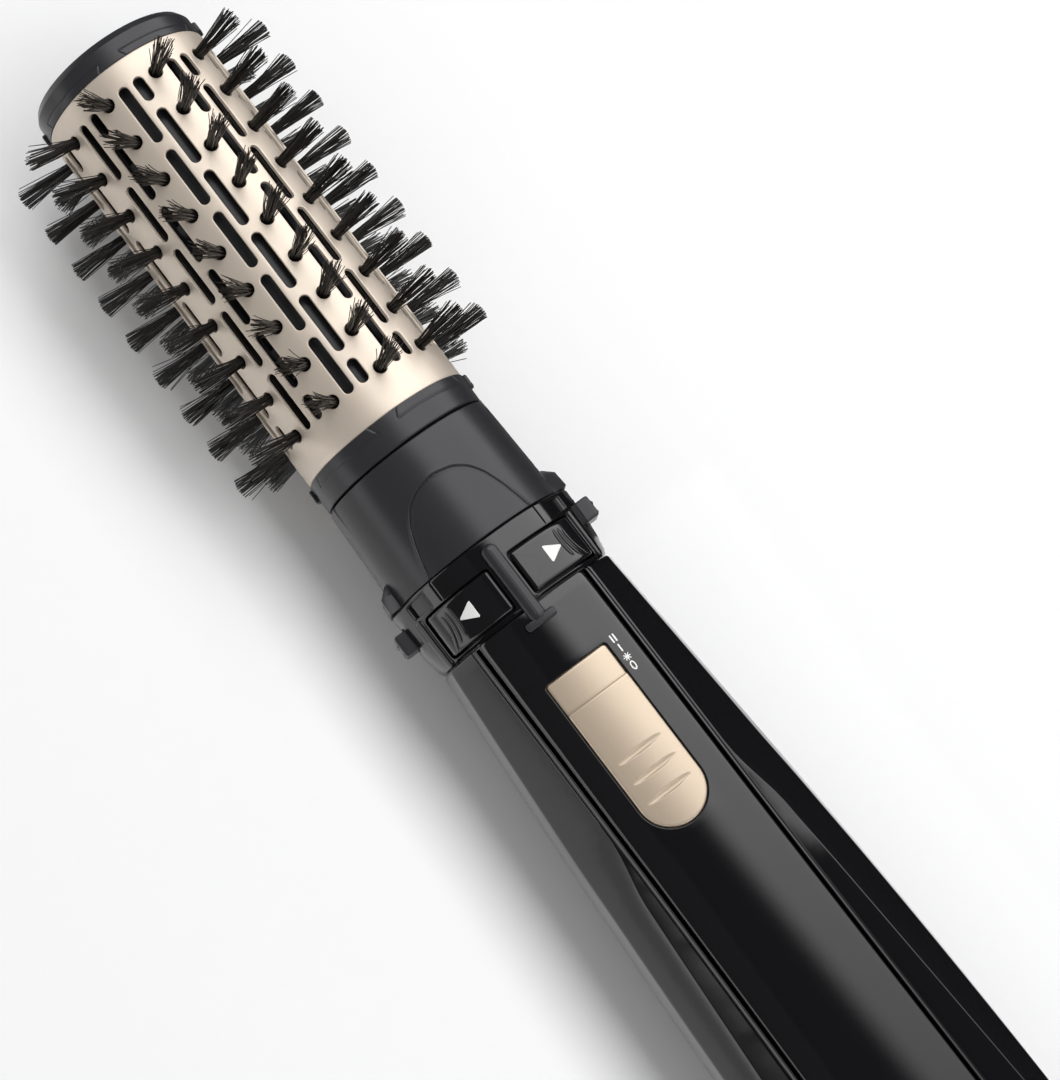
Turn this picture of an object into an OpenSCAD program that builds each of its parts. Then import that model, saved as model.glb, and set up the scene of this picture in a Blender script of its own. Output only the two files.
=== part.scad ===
// Rotating hot air brush: a perforated barrel with bristle tufts turns on a detachable head,
// driven by a gear motor in the handle and heated by air from a fan and an element behind it.
// The working frame has its axis along X, the tip towards +X, the controls on top (+Z), and
// x = 0 where the metal barrel meets its base ring. place() moves that frame so that the origin
// lies under the middle of the part, level with the lowest bristle tips.

/* [Barrel and bristles] */
// Outer diameter of the metal barrel
barrel_d = 42; // [41.6:0.1:42.4]
// Length of the metal barrel
barrel_len = 98.5; // [94:0.5:104]
// Sheet thickness of the barrel
barrel_wall = 0.8; // [0.6:0.1:0.9]
// How far the bristles stand out of the barrel
bristle_h = 13.5; // [8:0.5:16]
// Diameter of a tuft where it leaves the barrel
tuft_root_d = 2.5; // [1.8:0.1:2.7]
// Diameter of a tuft at its splayed tip
tuft_tip_d = 4.4; // [3:0.1:5]
// Diameter of the holes that the tufts stand in
tuft_hole_d = 2.9; // [2.8:0.1:3.4]
// Width of the air slots
slot_w = 2.6; // [2:0.1:2.8]
// Metal left between two air slots in a line
slot_gap = 2.55; // [2:0.05:4]
// How far the barrel has turned from its centred position, in degrees
barrel_turn = -2.2; // [-6:0.1:6]
// Length of the tip cap beyond the barrel
tip_len = 7; // [6:0.5:9]

/* [Handle] */
// Overall length of the handle shells, from the control ring to the rear cap
shell_len = 163.7; // [160:0.1:175]
// Width of the handle at its front
front_w = 45.6; // [45.4:0.1:46.4]
// Width of the handle at its rear
rear_w = 59.2; // [57:0.2:62]
// Height of the top of the handle above the axis
top_h = 22.6; // [22.5:0.1:22.8]
// Depth of the belly below the axis at the rear
rear_belly = 26; // [25:0.1:28]
// Wall thickness of the plastic shells
wall = 2; // [1.6:0.1:2.1]
// Width of the gloss top cover at its front
cover_w = 28.8; // [28:0.2:31]
// How much wider the top cover is at its rear
cover_flare = 2; // [0:0.2:6]

/* [Power slider] */
// Width of the thumb piece
thumb_w = 15.7; // [14.6:0.1:16]
// Length of the thumb piece
thumb_len = 33.2; // [32:0.1:35]
// Travel from off to the highest heat setting
slider_travel = 7.2; // [6:0.1:7.3]
// How far the thumb piece stands above the cover
thumb_proud = 0.8; // [0.5:0.1:1.2]

/* [Buttons] */
// Length of a rotation button along the handle
rotate_len = 10.2; // [9.6:0.1:10.4]
// Distance from the middle to the outer edge of a rotation button
rotate_reach = 18.9; // [18:0.1:19]
// How far a release button stands out of the control ring
release_proud = 3.2; // [2.6:0.1:4]

/* [Cord inlet] */
// Diameter of the cord inlet's bore
inlet_d = 7.2; // [6:0.1:8]

/* [Hidden] */
$fn = 64;
cut = 0.5;            // how far a cutting tool runs past the face that it cuts
gap = 0.3;            // clearance between neighbours that aren't a fit
fit = 0.05;           // radial clearance of a running fit

gold = "#d8c6a6";
satin_black = "#2b2b2d";
gloss_black = "#121214";
bristle_black = "#1c1c1e";
print_white = "#e6e6e2";
steel = "#b9bcc0";
brass = "#c8a95a";
mica = "#cbbfa4";
nichrome = "#8c8a86";
pom_white = "#e2e0d8";
board_green = "#2f6b45";
filter_grey = "#4a4c50";

// Head
row_count = 10;
tufts_in_row = 9;
row_pitch = 360 / row_count;
line_angle = 5.5;                        // slot line from the middle between two rows
barrel_r = barrel_d / 2;
bore_r = barrel_r - barrel_wall;
tuft_x0 = 9.3;
tuft_pitch = (barrel_len - 16) / (tufts_in_row - 1);
slot_x0 = 8.3;
slots_in_line = 5;
slot_pitch = (barrel_len - 13.75 + slot_gap) / slots_in_line;
slot_len = slot_pitch - slot_gap;
tip_x = barrel_len + tip_len;
spigot_len = 5;
rail_w = 5;
rail_h = 2.6;
rail_top = bore_r - 0.45;
cage_x = [-3.8, barrel_len + 2];
cage_r = 16.9;
cage_wall = 1;
vent_len = 14;
ring_x = [-7.2, 0];
ring_r = barrel_r + 0.2;
journal_x = [-23, -7.2];
journal_r = 15;
journal_bore = 12.5;
bearing_x = [-20, -9.2];
bearing_r = 17.5;
clip_x = [-21.9, -20.4];
clip_r = 17;
clip_groove_r = 14;
collar_x = [-34.2, -7.7];
collar_r = [22.2, 21.2];                 // at its rear and at its front
collar_wall = 1.8;
web_x = [-19.5, -9.7];
lug_r = 24.2;
lug_half = 7;
spider_x = [-14, -8];
spider_hub_r = 4.5;
shaft_r = 2.5;
head_shaft_x = [-24, barrel_len - 1.5];
tip_screw_r = 1.5;
tip_head_r = 3.1;
coupler_x = [-33, -24];
coupler_r = 5;
hex_af = 6;
hex_play = 0.4;

// Control ring and the parts in it
control_x = [-52, -34.5];
control_r = 22.6;
control_bore = 20.4;
control_side = 24.2;
tongue_r = top_h - wall - gap;           // rim that the handle shells close on
side_half = 9;
button_x = [-40.3 - rotate_len, -40.3];
button_in = 2.95;
button_r = 23.4;
button_wall = 2.7;
arrow_angle = 29.8;
arrow_size = 4.4;
pad_x = [-43.6, -38.4];
pad_half = 4.2;
pad_y = [19.6, 24.1 + release_proud];
arm_x = [-44, -27.6];
arm_y = [18, 19.6];
arm_half = 3.5;
outlet_x = [-51, -27.5];
outlet_r = 17.5;
outlet_bore = 16;
pocket_y = [12.3, 13.3];
pocket_half = 5.2;
hub_x = [-46, -39];
hub_r = 6.5;
bush_r = 4.5;
ridge_x = [-55, -35.8];
ridge_half = 1.9;
tee_x = [-56.7, -55];
tee_half = 3.8;

// Handle shells
shell_front = control_x[0] - gap;
shell_rear = shell_front - shell_len;
squareness = 2.2;                        // exponent of the superellipse section
shell_steps = 11;
arc_steps = 16;
belly_front = top_h;
seam = 0.35;                             // half the groove between cover and side shells
cap_len = 16;
cap_tail = 0.45;                         // size of the cap's rear face against its front

// Slider group
thumb_x = [-75.7 - thumb_len, -75.7];
window_x = thumb_x[1] + slider_travel + 0.8;
thumb_r = thumb_w / 2;
crown_r = 36;
crown_z = top_h + thumb_proud - crown_r;
thumb_t = 0.9;
window_play = 0.3;
plate_x = [-114, -63];
plate_half = 9;
plate_z = [18, 19];
peg_x = [-90, -87];
peg_half = 1.4;
mark_y = -10.1;
mark_z = 20.84;
mark_tilt = 19.9;
mark_step = slider_travel / 3;
switch_x = [-98, -76];
switch_z = [15.5, 17.8];
board_x = [-128, -66];
board_half = 9;
board_z = [14.5, 15.5];

// Drive
gear_module = 0.5;
gear_teeth = 36;
pinion_teeth = 12;
gear_centre = gear_module * (gear_teeth + pinion_teeth) / 2;
gear_x = [-60, -56];
case_x = [-64, -52.4];
case_wall = 1.2;
case_r = 11.3;
case_foot_r = 5.6;
motor_x = [-86, -64.2];
motor_r = 8;
pinion_shaft_r = 1;
output_x = [-63.6, -35];
hex_tip_x = [-35, -26];

// Heater
shield_x = [-144, -90];
shield_r = 14;
heater_x = [-140, -94];
mica_r = 11;
mica_t = 0.8;
coil_r = 11.9;
coil_wire_r = 0.4;
coil_turns = 9;

// Fan
duct_x = [-200, -148];
duct_r = 18.4;
duct_bore = 17;
fan_motor_x = [-186, -156];
fan_motor_r = 12;
fan_shaft_r = 1;
blade_x = [-197, -189];
blade_r = 16.5;
blade_count = 7;
blade_pitch = 38;

// Rear end
screw_sites = [-96, -142, -208];
boss_r = 2.6;
boss_len = 8;
screw_r = 1.3;
screw_head_r = 2;
filter_t = 1.2;
cap_front = shell_rear - 0.1;
cap_rear = cap_front - cap_len;
swivel_r = 8;
swivel_tail = 11;

// Placement of the working frame
reach = barrel_r + bristle_h;
// angle between straight down and the row nearest to it
low_row = row_pitch / 2 - abs(barrel_turn);
axis_h = reach * cos(low_row) + tuft_tip_d / 2 * sin(low_row);
rear_end = cap_rear - swivel_tail;
shift_x = -(tip_x + rear_end) / 2;

module place() translate([shift_x, 0, axis_h]) children();

// Solids along the axis: span is [rear x, front x]
module rod_x(span, r) translate([span[0], 0, 0]) rotate([0, 90, 0]) cylinder(h = span[1] - span[0], r = r);

module tube_x(span, r_out, r_in) difference() {
    rod_x(span, r_out);
    rod_x([span[0] - cut, span[1] + cut], r_in);
}

// points are [radius, x]
module revolve_x(points) rotate([0, 90, 0]) rotate_extrude() polygon(points);

module block(xs, ys, zs) translate([xs[0], ys[0], zs[0]])
    cube([xs[1] - xs[0], ys[1] - ys[0], zs[1] - zs[0]]);

module both_sides() {
    children();
    mirror([0, 1, 0]) children();
}

// Positive angles turn the top towards -Y
module turned(angle) rotate([angle, 0, 0]) children();

module slot_2d(length, width) {
    for (end = [-1, 1]) translate([end * (length - width) / 2, 0]) circle(d = width);
    square([length - width, width], center = true);
}

module hex_x(span, across) translate([span[0], 0, 0]) rotate([0, 90, 0])
    cylinder(h = span[1] - span[0], r = across / 2 / cos(30), $fn = 6);

// Closed solid through rings of points; x grows from ring to ring, points turn from +Y to +Z
module loft(rings) {
    n = len(rings[0]);
    last = (len(rings) - 1) * n;
    polyhedron(
        points = [for (ring = rings) each ring],
        faces = concat(
            [for (i = [0:n / 2 - 2]) [i, i + 1, n - 2 - i, n - 1 - i]],
            [for (i = [0:n / 2 - 2]) [for (k = [n - 1 - i, n - 2 - i, i + 1, i]) last + k]],
            [for (j = [0:len(rings) - 2]) for (i = [0:n - 1])
                let (a = j * n + i, b = j * n + (i + 1) % n)
                each [[a, a + n, b + n], [a, b + n, b]]]
        )
    );
}

// Wire of radius wire_r wound along +Z
function wire_ring(coil_radius, lead, a, wire_r, sides) = let (
    outward = [cos(a), sin(a), 0],
    along = [-sin(a), cos(a), lead / (2 * PI * coil_radius)],
    ahead = along / norm(along),
    side = cross(ahead, outward)
) [for (b = [0:360 / sides:359])
    [coil_radius * cos(a), coil_radius * sin(a), lead * a / 360]
        + wire_r * (cos(b) * outward - sin(b) * side)];

module wire_coil(coil_radius, lead, turns, wire_r, steps = 14, sides = 6)
    loft([for (i = [0:turns * steps]) wire_ring(coil_radius, lead, i * 360 / steps, wire_r, sides)]);

// Involute gear outline
function involute(a) = tan(a) * 180 / PI - a;

function flank(teeth, r, play) = let (
    pitch_r = gear_module * teeth / 2,
    base_r = pitch_r * cos(20)
) 90 / teeth - play * 90 / PI / pitch_r + involute(20) - involute(acos(min(1, base_r / r)));

function gear_points(teeth, play) = let (
    pitch_r = gear_module * teeth / 2,
    base_r = pitch_r * cos(20),
    root_r = pitch_r - 1.25 * gear_module,
    tip_r = pitch_r + 0.7 * gear_module,
    low_r = max(base_r, root_r),
    radii = concat([root_r], [for (i = [0:4]) low_r + (tip_r - low_r) * i / 4]),
    n = len(radii)
) [for (t = [0:teeth - 1]) for (i = [0:2 * n - 1])
    let (
        rising = i < n,
        r = radii[rising ? i : 2 * n - 1 - i],
        a = 360 * t / teeth + (rising ? -1 : 1) * flank(teeth, max(r, low_r), play)
    ) [r * cos(a), r * sin(a)]];

// Handle skin: a superellipse section that widens towards the rear
function widening(x) = sin(90 * min(1, max(0, (shell_front - x) / shell_len)));
function half_w(x) = front_w / 2 + (rear_w - front_w) / 2 * widening(x);
function belly(x) = belly_front + (rear_belly - belly_front) * widening(x);
function rounded(v) = sign(v) * pow(abs(v), 2 / squareness);
function skin(x, a, inset) = [
    x,
    -(half_w(x) - inset) * rounded(sin(a)),
    ((cos(a) > 0 ? top_h : belly(x)) - inset) * rounded(cos(a))
];
function edge_angle(x, y) = asin(pow(y / half_w(x), squareness / 2));
function cover_edge(x) = cover_w / 2 + cover_flare / 2 * pow(max(0, (-110 - x) / 106), 1.3);

// Ring of a shell strip at x between two skin angles
function strip(x, from, to) = concat(
    [for (i = [0:arc_steps]) skin(x, from + (to - from) * i / arc_steps, 0)],
    [for (i = [arc_steps:-1:0]) skin(x, from + (to - from) * i / arc_steps, wall)]
);

function shell_x(i) = shell_rear + shell_len * i / shell_steps;

module side_shell() loft([for (i = [0:shell_steps])
    let (x = shell_x(i))
    strip(x, edge_angle(x, cover_edge(x) + seam), 180 - edge_angle(x, 0.1))]);

// Handle section scaled about the axis, for the cap
function cap_ring(x, scale_by, inset, points = 40) = [for (i = [0:points - 1])
    let (p = skin(shell_rear, 360 * i / points, inset))
    [x, p[1] * scale_by, p[2] * scale_by]];
function cap_scale(t) = cap_tail + (1 - cap_tail) * cos(90 * t);
module cap_body(inset, depth) loft([for (i = [6:-1:0])
    cap_ring(cap_front - depth * sin(15 * i), cap_scale(i / 6), inset)]);

module bristle_row(index) color(bristle_black) place()
    turned(barrel_turn + row_pitch * (index - 0.5)) {
        block([spigot_len + 0.1, barrel_len - spigot_len - 0.1], [-rail_w / 2, rail_w / 2],
            [rail_top - rail_h, rail_top - 0.6]);
        for (i = [0:tufts_in_row - 1]) translate([tuft_x0 + i * tuft_pitch, 0, rail_top - 0.9]) {
            cylinder(h = 2, d = tuft_root_d);
            translate([0, 0, 2]) cylinder(h = reach - rail_top - 1.1, d1 = tuft_root_d, d2 = tuft_tip_d);
        }
    }

// Liner under the rails; its vents stand between the two slot lines of each strip
module bristle_cage() color(satin_black) place() turned(barrel_turn) difference() {
    tube_x(cage_x, cage_r, cage_r - cage_wall);
    for (row = [0:row_count - 1]) turned(row * row_pitch) for (i = [0:slots_in_line - 1])
        translate([slot_x0 + slot_pitch * (i + 0.5), 0, cage_r - 2]) linear_extrude(4)
            slot_2d(vent_len, 1.2);
}

module barrel_tube() color(gold) place() turned(barrel_turn) difference() {
    tube_x([0, barrel_len], barrel_r, bore_r);
    for (row = [0:row_count - 1]) turned(row * row_pitch) {
        turned(row_pitch / 2) for (i = [0:tufts_in_row - 1])
            translate([tuft_x0 + i * tuft_pitch, 0, bore_r - 2]) cylinder(h = 4, d = tuft_hole_d);
        turned(-line_angle) for (i = [0:slots_in_line - 1]) air_slot(slot_pitch * i, slot_len);
        turned(line_angle) {
            for (i = [0:slots_in_line - 2]) air_slot(slot_pitch * (i + 0.5), slot_len);
            air_slot(0, slot_pitch / 2 - slot_gap);
            air_slot(slot_pitch * (slots_in_line - 0.5), slot_pitch / 2 - slot_gap);
        }
    }
}

// Slot cutter that starts at the given distance along the slotted zone
module air_slot(start, length) translate([slot_x0 + start + length / 2, 0, bore_r - 2])
    linear_extrude(4) slot_2d(length, slot_w);

module tip_cap() color(satin_black) place() difference() {
    revolve_x([
        [tip_screw_r + 0.1, head_shaft_x[1]], [6, head_shaft_x[1]], [6, tip_x - 2.6],
        [16.5, tip_x - 2.9], [17.6, barrel_len], [17.6, barrel_len - spigot_len],
        [bore_r - 0.1, barrel_len - spigot_len], [bore_r - 0.1, barrel_len],
        [barrel_r, barrel_len], [barrel_r, tip_x - 2.4], [barrel_r - 0.7, tip_x - 0.8],
        [barrel_r - 2.2, tip_x - 0.1], [barrel_r - 3.4, tip_x], [barrel_r - 5, tip_x - 0.9],
        [8, tip_x - 0.3], [tip_head_r + 0.1, tip_x - 0.3], [tip_head_r + 0.1, tip_x - 1.8],
        [tip_screw_r + 0.1, tip_x - 1.8]
    ]);
    // step of the snap segments beside the barrel
    turned(barrel_turn) for (a = [0:72:359]) turned(a + 6)
        rotate([0, 90, 0]) translate([0, 0, barrel_len + 1.6])
            rotate_extrude(angle = 60) translate([barrel_r - 0.25, 0]) square([1, 0.3]);
}

module tip_screw() color(steel) place() {
    rod_x([head_shaft_x[1] - 6, tip_x - 1.8], tip_screw_r);
    difference() {
        rod_x([tip_x - 1.8, tip_x - 0.5], tip_head_r);
        for (a = [0, 90]) turned(a) block([tip_x - 1.2, tip_x + cut], [-2, 2], [-0.35, 0.35]);
    }
}

module base_ring() color(satin_black) place() difference() {
    revolve_x([
        [journal_bore, journal_x[0]], [journal_r, journal_x[0]], [journal_r, clip_x[0]],
        [clip_groove_r, clip_x[0]], [clip_groove_r, clip_x[1]], [journal_r, clip_x[1]],
        [journal_r, ring_x[0]], [ring_r - 0.5, ring_x[0]], [ring_r, ring_x[0] + 0.5],
        [ring_r, ring_x[1] - 0.2], [ring_r - 0.2, ring_x[1]], [bore_r - 0.1, ring_x[1]],
        [bore_r - 0.1, spigot_len], [17, spigot_len], [17, -4], [journal_bore, -6]
    ]);
    turned(barrel_turn) for (a = [0:72:359]) turned(a + 6)
        rotate([0, 90, 0]) translate([0, 0, -2.3])
            rotate_extrude(angle = 60) translate([ring_r - 0.25, 0]) square([1, 0.3]);
}

module drive_spider() color(pom_white) place() {
    tube_x(spider_x, journal_bore, journal_bore - 1.2);
    tube_x(spider_x, spider_hub_r, shaft_r);
    for (a = [0:120:359]) turned(a)
        block([spider_x[0] + 0.5, spider_x[1] - 0.5], [-1.2, 1.2], [spider_hub_r - 0.6, journal_bore - 0.6]);
}

module head_shaft() color(steel) place() {
    difference() {
        rod_x(head_shaft_x, shaft_r);
        rod_x([head_shaft_x[1] - 7, head_shaft_x[1] + cut], tip_screw_r);
    }
    difference() {
        rod_x(coupler_x, coupler_r);
        hex_x([coupler_x[0] - cut, coupler_x[1] - 1], hex_af + hex_play);
    }
}

module retaining_ring() color(steel) place() tube_x(clip_x, clip_r, clip_groove_r);

module collar() color(satin_black) place() difference() {
    union() {
        revolve_x([
            [collar_r[0] - collar_wall, collar_x[0]], [collar_r[0], collar_x[0]],
            [collar_r[1] + 0.2, collar_x[1] - 3], [collar_r[1], collar_x[1] - 0.8],
            [collar_r[1] - 0.8, collar_x[1]], [collar_r[1] - collar_wall, collar_x[1]],
            [collar_r[1] - collar_wall, web_x[1]], [bearing_r, web_x[1]], [bearing_r, web_x[0]],
            [collar_r[1] - collar_wall + 0.4, web_x[0]]
        ]);
        both_sides() difference() {
            translate([0, 0, -lug_half]) linear_extrude(2 * lug_half) polygon([
                [collar_x[0], 18], [collar_x[0], lug_r], [-30.4, lug_r - 0.3], [-28.4, 21.9], [-28.4, 18]
            ]);
            rod_x([collar_x[0] - cut, -28], collar_r[1]);
        }
    }
    both_sides() block([-31, -28], [18, 20.9], [-4.2, 4.2]);
}

module collar_bearing() color(pom_white) place() tube_x(bearing_x, bearing_r, journal_r + fit);

module control_ring() color(gloss_black) place() difference() {
    union() {
        rod_x(control_x, control_r);
        rod_x([control_x[0] - 4, control_x[0] + 0.5], tongue_r);
        both_sides() translate([0, 0, -side_half]) linear_extrude(2 * side_half) polygon([
            [control_x[0], 15], [control_x[0], 22.4], [-50, 23.1], [-46, 23.8], [-36, control_side],
            [control_x[1], control_side], [control_x[1], 15]
        ]);
    }
    rod_x([control_x[0] + 1, control_x[1] + cut], control_bore);
    rod_x([control_x[0] - 5, control_x[0] + 2], tongue_r - 1.4);
    both_sides() {
        block([button_x[0] - 0.4, button_x[1] + 0.4], [button_in - 0.4, rotate_reach + 0.4], [6, 30]);
        block([pad_x[0] - 0.4, pad_x[1] + 0.4], [15, 30], [-pad_half - 0.4, pad_half + 0.4]);
        turned(56.5) block([-38.9, -35.2], [-3.9, 3.9], [control_r - 0.6, 30]);
        turned(38.3) block([-40.6, control_x[1] + cut], [-0.45, 0.45], [control_r - 0.7, 30]);
    }
}

module air_outlet() color(satin_black) place() difference() {
    union() {
        difference() {
            union() {
                rod_x(outlet_x, outlet_r);
                tube_x([outlet_x[0], outlet_x[0] + 2], 19.5, outlet_r - cut);
                tube_x([-31.5, -28.5], 19.8, outlet_r - cut);
            }
            rod_x([outlet_x[0] - cut, outlet_x[1] + cut], outlet_bore);
            both_sides() block([outlet_x[0] - cut, outlet_x[1] + cut], [pocket_y[1], 25],
                [-pocket_half, pocket_half]);
        }
        intersection() {
            both_sides() block(outlet_x, pocket_y, [-11, 11]);
            rod_x(outlet_x, outlet_bore + 0.5);
        }
        rod_x(hub_x, hub_r);
        for (a = [0, 180]) turned(a) block(hub_x, [-1, 1], [hub_r - 1, outlet_bore + 0.5]);
        for (a = [90, 270]) turned(a) block(hub_x, [-1, 1], [hub_r - 1, pocket_y[0] + 0.5]);
    }
    rod_x([hub_x[0] - cut, hub_x[1] + cut], bush_r);
}

module shaft_bush() color(brass) place() tube_x(hub_x, bush_r, shaft_r + fit);

module rotate_button() color(gloss_black) intersection() {
    block(button_x, [button_in, rotate_reach], [4, 30]);
    tube_x([button_x[0] - cut, button_x[1] + cut], button_r, button_r - button_wall);
}
module rotate_button_left() place() rotate_button();
module rotate_button_right() place() mirror([0, 1, 0]) rotate_button();

module arrow_mark() color(print_white) turned(-arrow_angle)
    translate([(button_x[0] + button_x[1]) / 2, 0, button_r - 0.2]) linear_extrude(0.3) polygon([
        [-arrow_size / 2, -arrow_size / 2], [arrow_size / 2, -arrow_size / 2], [0, arrow_size / 2]
    ]);
module arrow_left() place() arrow_mark();
module arrow_right() place() mirror([0, 1, 0]) arrow_mark();

module rotation_switches() color(steel) place() both_sides() turned(-30) {
    block([-48.2, -42.2], [-3, 3], [outlet_r, outlet_r + 1.5]);
    translate([-45.2, 0, outlet_r + 1.5]) cylinder(h = 0.5, r = 1.5);
}

module release_button() color(satin_black) {
    block(pad_x, pad_y, [-pad_half, pad_half]);
    block(arm_x, arm_y, [-arm_half, arm_half]);
}
module release_button_left() place() release_button();
module release_button_right() place() mirror([0, 1, 0]) release_button();

module release_spring() color(steel) translate([-41, pocket_y[1] + 0.4, 0]) rotate([-90, 0, 0])
    wire_coil(1.7, 0.95, 4, 0.3);
module release_spring_left() place() release_spring();
module release_spring_right() place() mirror([0, 1, 0]) release_spring();

module centre_ridge() color(gloss_black) place() intersection() {
    union() {
        translate([0, 0, top_h - 0.4]) rod_x([ridge_x[0], ridge_x[1] - ridge_half], ridge_half);
        translate([ridge_x[1] - ridge_half, 0, top_h - 0.4]) sphere(ridge_half);
        block(tee_x, [-tee_half, tee_half], [top_h - 0.25, top_h + 0.7]);
        block([tee_x[0], ridge_x[0] + 1], [-ridge_half, ridge_half], [top_h - 0.1, top_h + 0.7]);
    }
    block([-60, -30], [-10, 10], [top_h - 0.25, top_h + 5]);
}

module window_2d(play) {
    translate([thumb_x[0] + thumb_r, 0]) circle(thumb_r + play);
    translate([thumb_x[0] + thumb_r, -thumb_r - play])
        square([window_x + play - thumb_x[0] - thumb_r - window_play, thumb_w + 2 * play]);
}

module top_cover() color(gloss_black) place() difference() {
    loft([for (i = [0:shell_steps])
        let (x = shell_x(i), a = edge_angle(x, cover_edge(x) - seam)) strip(x, -a, a)]);
    translate([0, 0, 10]) linear_extrude(20) window_2d(window_play);
}

// Children at the middle of each screw's boss, which stands on the belly's inner face
module at_screws() for (x = screw_sites)
    translate([x, 0, wall + boss_r - 0.8 - belly(x)]) rotate([90, 0, 0]) children();

module left_shell() color(satin_black) place() difference() {
    union() {
        mirror([0, 1, 0]) side_shell();
        at_screws() translate([0, 0, -boss_len]) cylinder(h = boss_len - 0.3, r = boss_r);
    }
    at_screws() {
        translate([0, 0, -boss_len - 1]) cylinder(h = boss_len + 2, r = screw_r + 0.2);
        translate([0, 0, -boss_len - 25]) cylinder(h = 28, r = screw_head_r + 0.1);
    }
}

// The screws bite into blind bosses in the right-hand shell
module right_shell() color(satin_black) place() difference() {
    union() {
        side_shell();
        at_screws() translate([0, 0, 0.3]) cylinder(h = boss_len - 0.3, r = boss_r);
    }
    at_screws() cylinder(h = boss_len - 1.5, r = screw_r);
}

module case_screws() color(steel) place() at_screws() {
    translate([0, 0, -5]) cylinder(h = boss_len + 3, r = screw_r);
    translate([0, 0, -6.6]) cylinder(h = 1.6, r = screw_head_r);
}

module slider_plate() color(gold) place() difference() {
    union() {
        block(plate_x, [-plate_half, plate_half], plate_z);
        intersection() {
            translate([0, 0, plate_z[0]]) linear_extrude(10) window_2d(0);
            translate([0, 0, crown_z]) rod_x(plate_x, crown_r - thumb_t - gap);
        }
    }
    block([peg_x[0] - 0.4, peg_x[1] + slider_travel + 0.4], [-peg_half - gap, peg_half + gap], [10, 30]);
}

module power_slider() color(gold) place() {
    difference() {
        intersection() {
            translate([0, 0, 15]) linear_extrude(20) {
                translate([thumb_x[0] + thumb_r, 0]) circle(thumb_r);
                translate([thumb_x[0] + thumb_r, -thumb_r])
                    square([thumb_len - thumb_r, thumb_w]);
            }
            translate([0, 0, crown_z]) tube_x(thumb_x, crown_r, crown_r - thumb_t);
        }
        for (i = [0:2]) translate([-90.4 - 5.2 * i, 0, top_h + thumb_proud + 1])
            rotate([90, 0, 0]) translate([0, 0, -12]) cylinder(h = 24, r = 1.45);
    }
    block(peg_x, [-peg_half, peg_half], [switch_z[0] + 0.8, top_h + thumb_proud - thumb_t + 0.2]);
}

module setting_marks() color(print_white) place() for (i = [0:3])
    translate([thumb_x[1] + mark_step * i, mark_y, mark_z]) turned(mark_tilt)
        linear_extrude(0.3) setting_mark_2d(i);

// Off, cool, low and high
module setting_mark_2d(i) {
    if (i == 0) difference() {
        slot_2d(1.9, 1.5);
        slot_2d(1.2, 0.8);
    }
    if (i == 1) for (a = [0:45:179]) rotate(a) square([1.9, 0.3], center = true);
    if (i == 2) square([1.9, 0.35], center = true);
    if (i == 3) for (y = [-0.5, 0.5]) translate([0, y]) square([1.9, 0.35], center = true);
}

module slide_switch() color(steel) place() difference() {
    block(switch_x, [-5, 5], switch_z);
    block([peg_x[0] - 0.6, peg_x[1] + slider_travel + 0.6], [-peg_half - gap, peg_half + gap],
        [switch_z[0] + 0.4, switch_z[1] + cut]);
}

module circuit_board() color(board_green) place() {
    block(board_x, [-board_half, board_half], board_z);
    block([-124, -116], [-6, 2], [board_z[1] - 0.1, board_z[1] + 2]);
    block([-111, -104], [1, 7], [board_z[1] - 0.1, board_z[1] + 1.5]);
}

module case_2d(shrink) {
    circle(case_r - shrink);
    translate([gear_centre, 0]) circle(case_foot_r - shrink);
    translate([0, -case_foot_r + shrink]) square([gear_centre, 2 * (case_foot_r - shrink)]);
}

module gear_case() color(filter_grey) place() difference() {
    translate([case_x[0], 0, 0]) rotate([0, 90, 0]) linear_extrude(case_x[1] - case_x[0]) case_2d(0);
    translate([case_x[0] + case_wall, 0, 0]) rotate([0, 90, 0])
        linear_extrude(case_x[1] - case_x[0] - 2 * case_wall) case_2d(case_wall);
    rod_x([case_x[0] - cut, case_x[1] + cut], shaft_r + fit);
    translate([0, 0, -gear_centre]) rod_x([case_x[0] - cut, case_x[0] + 2], pinion_shaft_r + fit);
}

module gear_motor() color(steel) place() translate([0, 0, -gear_centre]) difference() {
    rod_x(motor_x, motor_r);
    rod_x([motor_x[1] - 12, motor_x[1] + cut], pinion_shaft_r + fit);
}

module motor_pinion() color(brass) place() translate([0, 0, -gear_centre]) {
    rod_x([motor_x[1] - 11, gear_x[0] + 0.5], pinion_shaft_r);
    translate([gear_x[0], 0, 0]) rotate([0, 90, 0]) linear_extrude(gear_x[1] - gear_x[0])
        polygon(gear_points(pinion_teeth, 0.06));
}

module drive_gear() color(pom_white) place() difference() {
    translate([gear_x[0], 0, 0]) rotate([0, 90, 0]) rotate(180 / gear_teeth)
        linear_extrude(gear_x[1] - gear_x[0]) polygon(gear_points(gear_teeth, 0.06));
    rod_x([gear_x[0] - cut, gear_x[1] + cut], shaft_r);
}

module output_shaft() color(steel) place() {
    rod_x(output_x, shaft_r);
    hex_x(hex_tip_x, hex_af);
}

module heat_shield() color(steel) place() tube_x(shield_x, shield_r, shield_r - 0.5);

module heater_frame() color(mica) place() for (a = [0, 90]) turned(a)
    block(heater_x, [-mica_t / 2, mica_t / 2], [-mica_r, mica_r]);

module heater_coil() color(nichrome) place() translate([heater_x[0] + 3, 0, 0]) rotate([0, 90, 0])
    wire_coil(coil_r, (heater_x[1] - heater_x[0] - 6) / coil_turns, coil_turns, coil_wire_r, 24);

module thermal_cutout() color(brass) place() rod_x([heater_x[1] + 0.2, heater_x[1] + 3.4], 4);

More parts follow.
